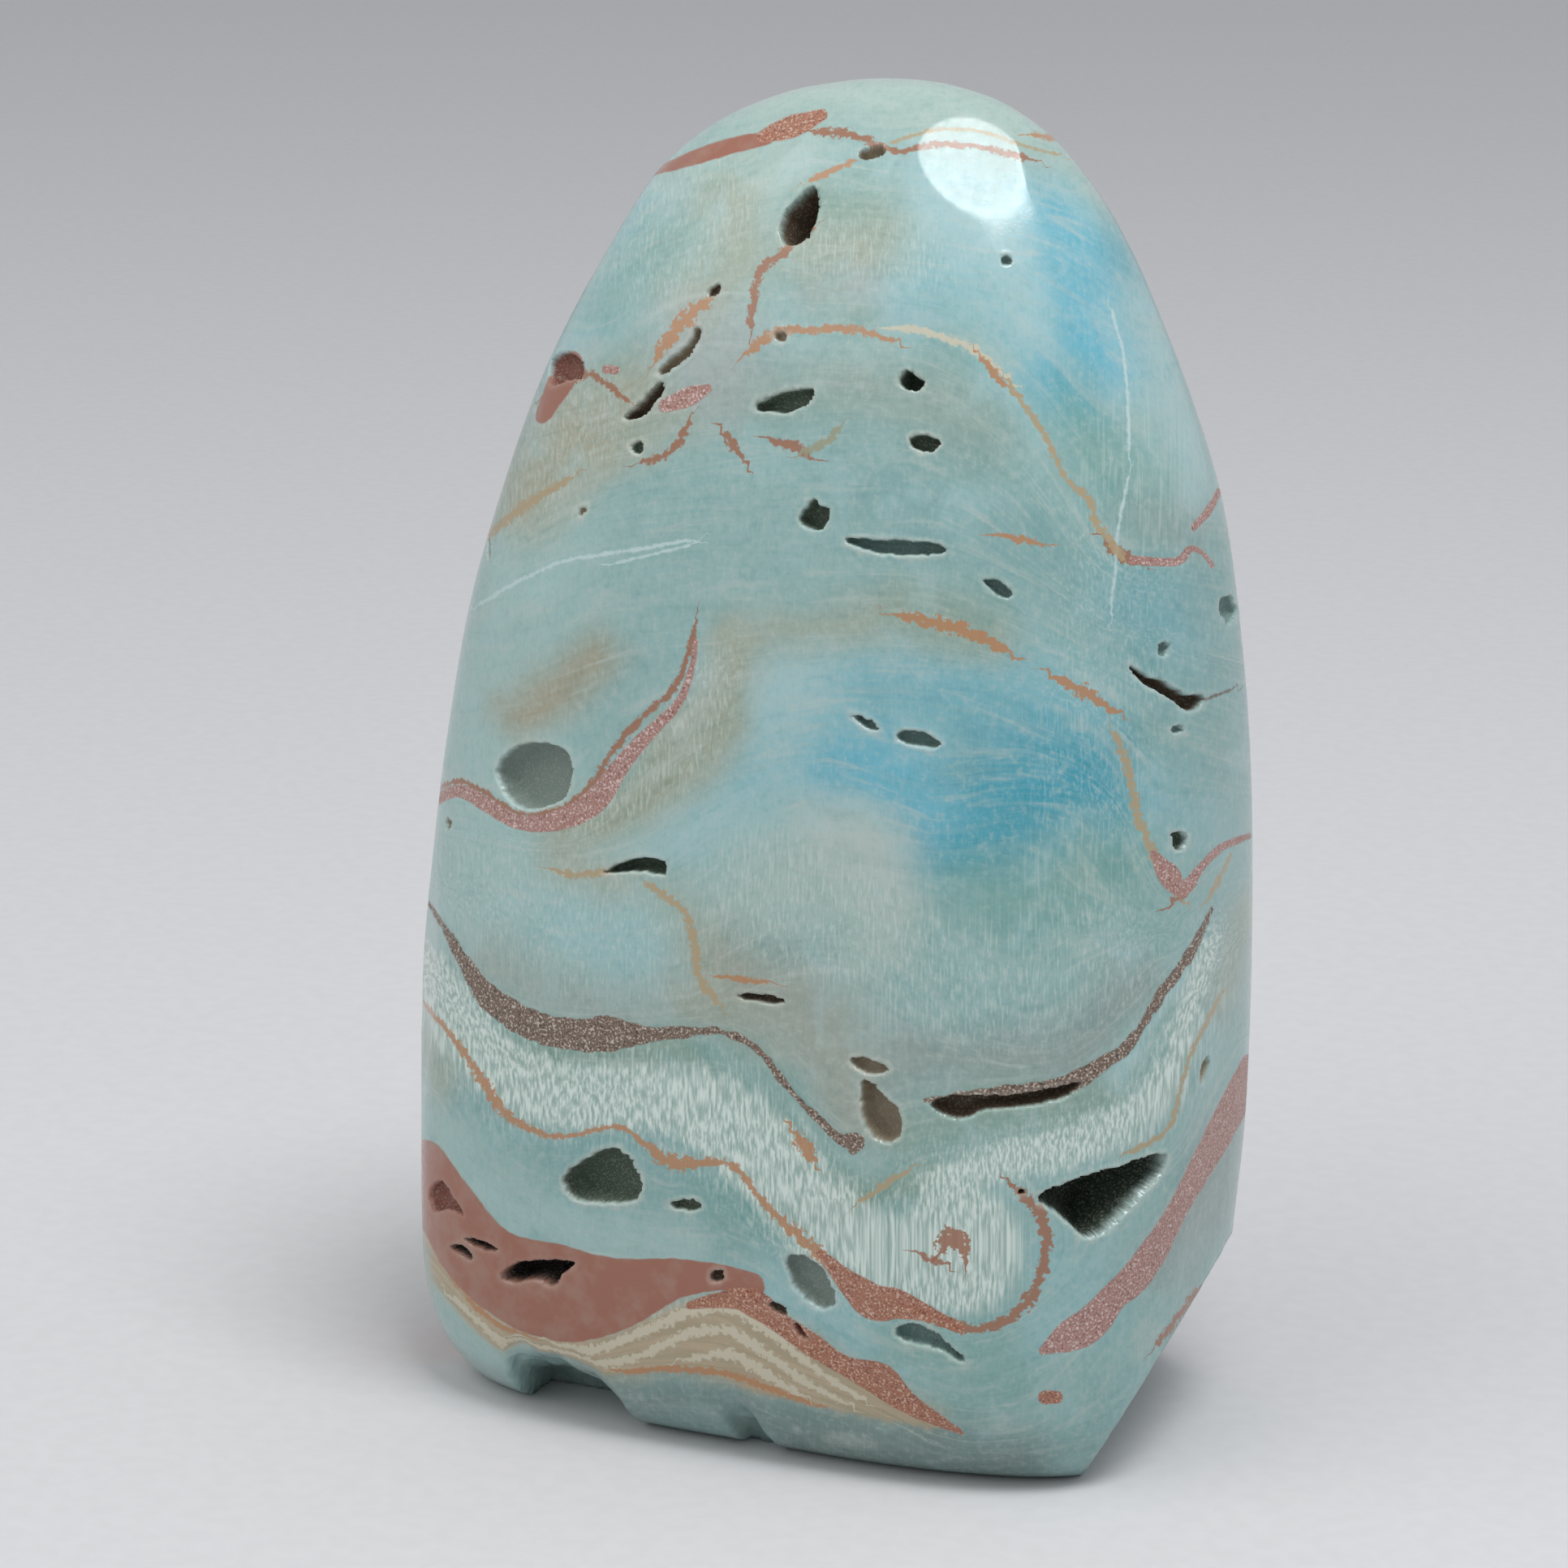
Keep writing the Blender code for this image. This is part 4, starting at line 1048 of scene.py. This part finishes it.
class Net:
    """Short calls for laying the nodes of one material."""

    def __init__(self, name):
        self.material = bpy.data.materials.new(name)
        self.material.use_nodes = True
        self.tree = self.material.node_tree
        self.shader = self.tree.nodes["Principled BSDF"]

    def add(self, kind, inputs, **settings):
        node = self.tree.nodes.new(kind)
        for key, value in settings.items():
            setattr(node, key, value)
        for socket, value in inputs.items():
            self.put(node.inputs[socket], value)
        return node

    def put(self, socket, value):
        if isinstance(value, bpy.types.NodeSocket):
            self.tree.links.new(value, socket)
        else:
            socket.default_value = value

    def surface(self, **values):
        """Set or link the shader's own sockets, named with underscores for spaces."""
        for name, value in values.items():
            self.put(self.shader.inputs[name.replace("_", " ")], value)

    def maths(self, operation, first, second=0.0):
        return self.add("ShaderNodeMath", {0: first, 1: second}, operation=operation).outputs[0]

    def plus(self, first, second):
        return self.maths("ADD", first, second)

    def times(self, first, second):
        return self.maths("MULTIPLY", first, second)

    def larger(self, first, second):
        return self.maths("MAXIMUM", first, second)

    def rise(self, value, start, end, low=0.0, high=1.0):
        """Smooth step of a value, from low at start to high at end."""
        inputs = {"Value": value, "From Min": start, "From Max": end, "To Min": low, "To Max": high}
        return self.add("ShaderNodeMapRange", inputs, interpolation_type="SMOOTHSTEP").outputs["Result"]

    def blend(self, share, below, above, mode="MIX"):
        """Colour above laid over the one below by a share."""
        inputs = {0: share, 6: below, 7: above}
        return self.add("ShaderNodeMix", inputs, data_type="RGBA", blend_type=mode).outputs[2]

    def shadow(self, share, below, name):
        """Colour below darkened by a mix, by a share."""
        return self.blend(share, below, mixed(name), "MULTIPLY")

    def grain(self, vector, size, detail=2.0, roughness=0.5, distortion=0.0):
        """Smooth random value from 0 to 1, of a grain size in the vector's own unit."""
        inputs = {"Vector": vector, "Scale": 1 / size, "Detail": detail, "Roughness": roughness,
                  "Distortion": distortion}
        return self.add("ShaderNodeTexNoise", inputs).outputs[0]

    def stretched(self, vector, *factors):
        return self.add("ShaderNodeVectorMath", {0: vector, 1: factors}, operation="MULTIPLY").outputs[0]

    def vector(self, name):
        return self.add("ShaderNodeAttribute", {}, attribute_name=name).outputs["Vector"]

    def colour(self, name):
        return self.add("ShaderNodeAttribute", {}, attribute_name=name).outputs["Color"]

    def split(self, vector):
        """The three values of a vector."""
        return self.add("ShaderNodeSeparateXYZ", {0: vector}).outputs

    def object_place(self):
        return self.add("ShaderNodeTexCoord", {}).outputs["Object"]


def tinted(name):
    """Tone of the photograph as the nodes take it."""
    return (*tone(name), 1.0)


def mixed(name):
    """Colour of MIXES as the nodes take it."""
    return (*MIXES[name], 1.0)


def ground(net, place, layers):
    """Milky ground colour with clouds, wisps along the growth layers and a fine sugary grain."""
    colour = net.colour("ground")
    clouds = net.grain(place, size=5.0, detail=4.0, roughness=0.6, distortion=0.6)
    colour = net.blend(net.rise(clouds, 0.5, 0.8, high=0.45), colour, tinted("pale_sky"))
    colour = net.shadow(net.rise(clouds, 0.5, 0.25, high=0.4), colour, "cloud_shadow")
    drawn_out = net.stretched(layers, 0.16, 1.0, 0.0)
    wisps = net.grain(drawn_out, size=1.3, detail=4.0, roughness=0.6, distortion=0.7)
    colour = net.blend(net.rise(wisps, 0.52, 0.72, high=0.4), colour, tinted("milk"))
    colour = net.shadow(net.rise(wisps, 0.48, 0.3, high=0.35), colour, "wisp_shadow")
    lines = net.grain(net.stretched(layers, 0.05, 1.0, 0.0), size=0.5, roughness=0.6, distortion=0.3)
    colour = net.blend(net.rise(lines, 0.4, 0.7, high=0.18), colour, tinted("green_milk"))
    mottle = net.grain(place, size=0.7, detail=3.0, roughness=0.65)
    colour = net.blend(net.rise(mottle, 0.5, 0.72, high=0.3), colour, tinted("milk"))
    return net.shadow(net.rise(mottle, 0.5, 0.3, high=0.3), colour, "mottle_shadow")


def fibrous(net, colour, layers, strength, milk):
    """White fibres standing across the layers, thickest in the milky bands, with teal between the tufts."""
    fine = net.grain(net.stretched(layers, 1.0, 0.2, 0.0), size=0.24, roughness=0.55)
    across = net.stretched(layers, 1.0, 0.35, 0.0)
    tufts = net.grain(across, size=0.8, detail=3.0, roughness=0.6, distortion=0.4)
    edge = net.plus(milk, net.times(net.maths("SUBTRACT", tufts, 0.5), 3.2))
    white = net.blend(net.rise(fine, 0.4, 0.62), tinted("green_milk"), mixed("fibre_white"))
    colour = net.blend(net.rise(edge, -0.6, 0.8, high=0.85), colour, white)
    streaks = net.times(net.rise(fine, 0.5, 0.66), strength)
    colour = net.blend(net.times(streaks, 0.45), colour, mixed("streak_white"))
    gaps = net.times(net.rise(fine, 0.44, 0.3), strength)
    return net.shadow(net.times(gaps, 0.5), colour, "fibre_gap")


def creamy(net, colour, layers, cream, wobble):
    """Cream band with brown stripes along the growth layers."""
    drawn_out = net.stretched(layers, 0.06, 1.0, 0.0)
    stripes = net.grain(drawn_out, size=0.55, roughness=0.6, distortion=0.5)
    striped = net.blend(net.rise(stripes, 0.35, 0.65), tinted("stain"), tinted("cream"))
    return net.blend(net.rise(net.plus(cream, wobble), -0.3, 0.3, high=0.9), colour, striped)


def reddened(net, colour, place, red, wobble):
    """Dense red band with paler patches."""
    patches = net.grain(place, size=3.0, detail=4.0, roughness=0.6)
    stone = net.blend(net.rise(patches, 0.4, 0.65), mixed("red_stone"), mixed("pale_red_stone"))
    return net.blend(net.rise(net.plus(red, wobble), -0.08, 0.1), colour, stone)


def sugary(net, colour, specks, kind, field, wobble):
    """Grainy band: its body colour with dark and pale sugar grains, inside the band's edge."""
    grains = net.blend(net.rise(specks, 0.42, 0.3), mixed(f"{kind}_body"), mixed(f"{kind}_dark"))
    grains = net.blend(net.rise(specks, 0.56, 0.66), grains, mixed(f"{kind}_light"))
    return net.blend(net.rise(net.plus(field, wobble), -0.08, 0.1, high=0.95), colour, grains)


def tint_ramp(net, tint):
    """Colour of a vein from its place among the tints."""
    ramp = net.add("ShaderNodeValToRGB", {"Fac": tint})
    stops = ramp.color_ramp.elements
    for index, name in enumerate(TINTS):
        at = index / (len(TINTS) - 1)
        stop = stops[index] if index < 2 else stops.new(at)
        stop.position = at
        stop.color = tinted(name)
    return ramp.outputs["Color"]


def veined(net, colour, layer, wobble, fray):
    """One layer of veins laid over the colour."""
    distance, width, tint = net.split(net.vector(f"veins_{layer}"))
    offset = net.maths("ABSOLUTE", net.plus(distance, wobble))
    edge = net.maths("SUBTRACT", net.times(width, fray), offset)
    present = net.rise(width, 0.02, 0.08)
    share = net.times(net.rise(edge, -0.14, 0.1, high=0.9), present)
    return net.blend(share, colour, tint_ramp(net, tint))


def hollowed(net, colour, specks, mouth, crust, wobble, open_pit):
    """Pale crusts round the mouths of the pits, and the lining inside them, which in the cave and the deep
    small holes is painted shade.
    """
    crusted = net.times(net.rise(net.plus(mouth, wobble), -0.6, -0.05), crust)
    colour = net.blend(net.times(crusted, 0.42), colour, mixed("crust"))
    lined = net.blend(net.rise(specks, 0.5, 0.68, high=0.35), net.colour("lining"), mixed("lining_speck"))
    return net.blend(open_pit, colour, lined)


def stone_material():
    """Polished banded stone, with rough grainy bands, pits and broken corner."""
    net = Net("banded_calcite")
    place = net.stretched(net.object_place(), 1 / MM, 1 / MM, 1 / MM)
    layers = net.vector("layers")
    strength = net.split(layers)[2]
    milk, cream, red = net.split(net.vector("smooth_bands"))
    grainy_bands = dict(zip(GRAINY_KINDS, net.split(net.vector("grainy_bands"))))
    mouth, crust, broken_off = net.split(net.vector("hollows"))
    wobble_noise = net.grain(place, size=1.4, detail=4.0, roughness=0.65)
    wobble = net.times(net.maths("SUBTRACT", wobble_noise, 0.5), 0.9)
    small_wobble = net.times(wobble, 0.35)
    fray_noise = net.grain(place, size=0.5, roughness=0.6)
    fray = net.rise(fray_noise, 0.3, 0.7, low=0.3, high=1.5)
    specks = net.grain(place, size=0.2, detail=1.0)
    open_pit = net.rise(mouth, -0.03, 0.06)
    snapped = net.rise(broken_off, -0.02, 0.08)

    colour = fibrous(net, ground(net, place, layers), layers, strength, milk)
    colour = creamy(net, colour, layers, cream, wobble)
    for layer in range(VEIN_LAYERS):
        colour = veined(net, colour, layer, small_wobble, fray)
    colour = reddened(net, colour, place, red, small_wobble)
    for kind, edge_wobble in (("sugar", small_wobble), ("mauve", small_wobble), ("dark", wobble)):
        colour = sugary(net, colour, specks, kind, grainy_bands[kind], edge_wobble)
    colour = hollowed(net, colour, specks, mouth, crust, wobble, open_pit)
    colour = net.blend(net.times(snapped, 0.5), colour, tinted("break_stone"))

    nearest_band = net.larger(net.larger(grainy_bands["sugar"], grainy_bands["mauve"]), grainy_bands["dark"])
    grainy = net.rise(nearest_band, -0.05, 0.1)
    rough = net.larger(net.larger(open_pit, snapped), net.times(grainy, 0.45))
    polish = net.rise(net.grain(place, size=0.9, detail=3.0, roughness=0.6), 0.3, 0.7, low=0.14, high=0.24)
    height = net.plus(net.times(specks, net.plus(rough, 0.06)), net.times(fray_noise, 0.06))
    bump = net.add("ShaderNodeBump", {"Height": height, "Strength": 0.5, "Distance": 0.00015})
    net.surface(Base_Color=colour, Roughness=net.plus(polish, net.times(rough, 0.5)), Normal=bump.outputs[0],
               Subsurface_Weight=0.15, Subsurface_Radius=(1.0, 1.3, 1.3), Subsurface_Scale=0.0012,
               Specular_IOR_Level=0.5)
    return net.material


def build_stone():
    """The dressed stone that stands for the CAD solid."""
    mesh = skin_mesh()
    refine(mesh)
    skin, normals = mesh_arrays(mesh)
    for vert, point in zip(mesh.verts, carved(skin, normals)):
        vert.co = Vector(point) * MM
    for face in mesh.faces:
        face.smooth = True
    data = bpy.data.meshes.new("banded_stone")
    mesh.to_mesh(data)
    mesh.free()
    paint(data, skin, normals)
    data.materials.append(stone_material())
    stone = bpy.data.objects.new("banded_stone", data)
    bpy.context.scene.collection.objects.link(stone)
    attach(stone, "root")
    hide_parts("stone")


# Stage, light and camera, in metres and watts

FLOOR_HALF = 4.0
FLOOR_FADE = (-0.1, 0.9)
FLOOR_GRAIN_SIZE = 0.002
Lamp = namedtuple("Lamp", "name azimuth elevation distance width height power tint")
LAMPS = (
    Lamp("window", -35, 42, 1.4, 1.3, 1.1, 6.0, (1.0, 0.99, 0.97)),
    Lamp("softbox", 58, 66, 0.9, 0.42, 0.34, 5.0, (0.97, 0.99, 1.0)),
    Lamp("fill", 110, 30, 1.6, 1.0, 1.0, 1.5, (0.97, 0.98, 1.0)),
)
ROOM_STRENGTH = 0.86


def floor_material():
    """Pale matt floor, a little darker towards the back."""
    net = Net("pale_floor")
    place = net.object_place()
    depth = net.split(place)[1]
    colour = net.blend(net.rise(depth, *FLOOR_FADE), mixed("floor_near"), mixed("floor_far"))
    weave = net.grain(place, size=FLOOR_GRAIN_SIZE)
    colour = net.shadow(net.rise(weave, 0.3, 0.7, high=0.06), colour, "floor_grain")
    net.surface(Base_Color=colour, Roughness=0.9, Specular_IOR_Level=0.2)
    return net.material


def build_floor():
    mesh = bmesh.new()
    bmesh.ops.create_grid(mesh, x_segments=1, y_segments=1, size=FLOOR_HALF)
    data = bpy.data.meshes.new("floor")
    mesh.to_mesh(data)
    mesh.free()
    data.materials.append(floor_material())
    floor = bpy.data.objects.new("floor", data)
    bpy.context.scene.collection.objects.link(floor)


def build_lamps():
    """Soft lamps, each turned to the aim from its own side."""
    for lamp in LAMPS:
        light = bpy.data.lights.new(lamp.name, "AREA")
        light.shape = "RECTANGLE"
        light.size = lamp.width
        light.size_y = lamp.height
        light.energy = lamp.power
        light.color = lamp.tint
        holder = bpy.data.objects.new(lamp.name, light)
        towards = Vector(direction(lamp.azimuth, lamp.elevation))
        holder.location = Vector(AIM) * MM + towards * lamp.distance
        holder.rotation_euler = towards.to_track_quat("Z", "Y").to_euler()
        bpy.context.scene.collection.objects.link(holder)


def build_room():
    """Even pale light from all round."""
    world = bpy.data.worlds.new("soft_room")
    world.use_nodes = True
    background = world.node_tree.nodes["Background"]
    background.inputs["Color"].default_value = mixed("room")
    background.inputs["Strength"].default_value = ROOM_STRENGTH
    bpy.context.scene.world = world


def build_camera():
    """Camera at the photograph's angle."""
    lens = bpy.data.cameras.new("photo_view")
    lens.sensor_width = SENSOR
    lens.lens = FOCAL_PIXELS / PHOTO_SIDE * SENSOR
    lens.clip_start = NEAREST_VIEW
    lens.clip_end = FARTHEST_VIEW
    camera = bpy.data.objects.new("photo_view", lens)
    towards_eye = Vector(direction(EYE_AZIMUTH, EYE_ELEVATION))
    camera.location = (Vector(AIM) + towards_eye * EYE_DISTANCE) * MM
    camera.rotation_euler = towards_eye.to_track_quat("Z", "Y").to_euler()
    bpy.context.scene.collection.objects.link(camera)
    bpy.context.scene.camera = camera


build_stone()
build_floor()
build_lamps()
build_room()
build_camera()
bpy.context.scene.view_settings.view_transform = "Standard"
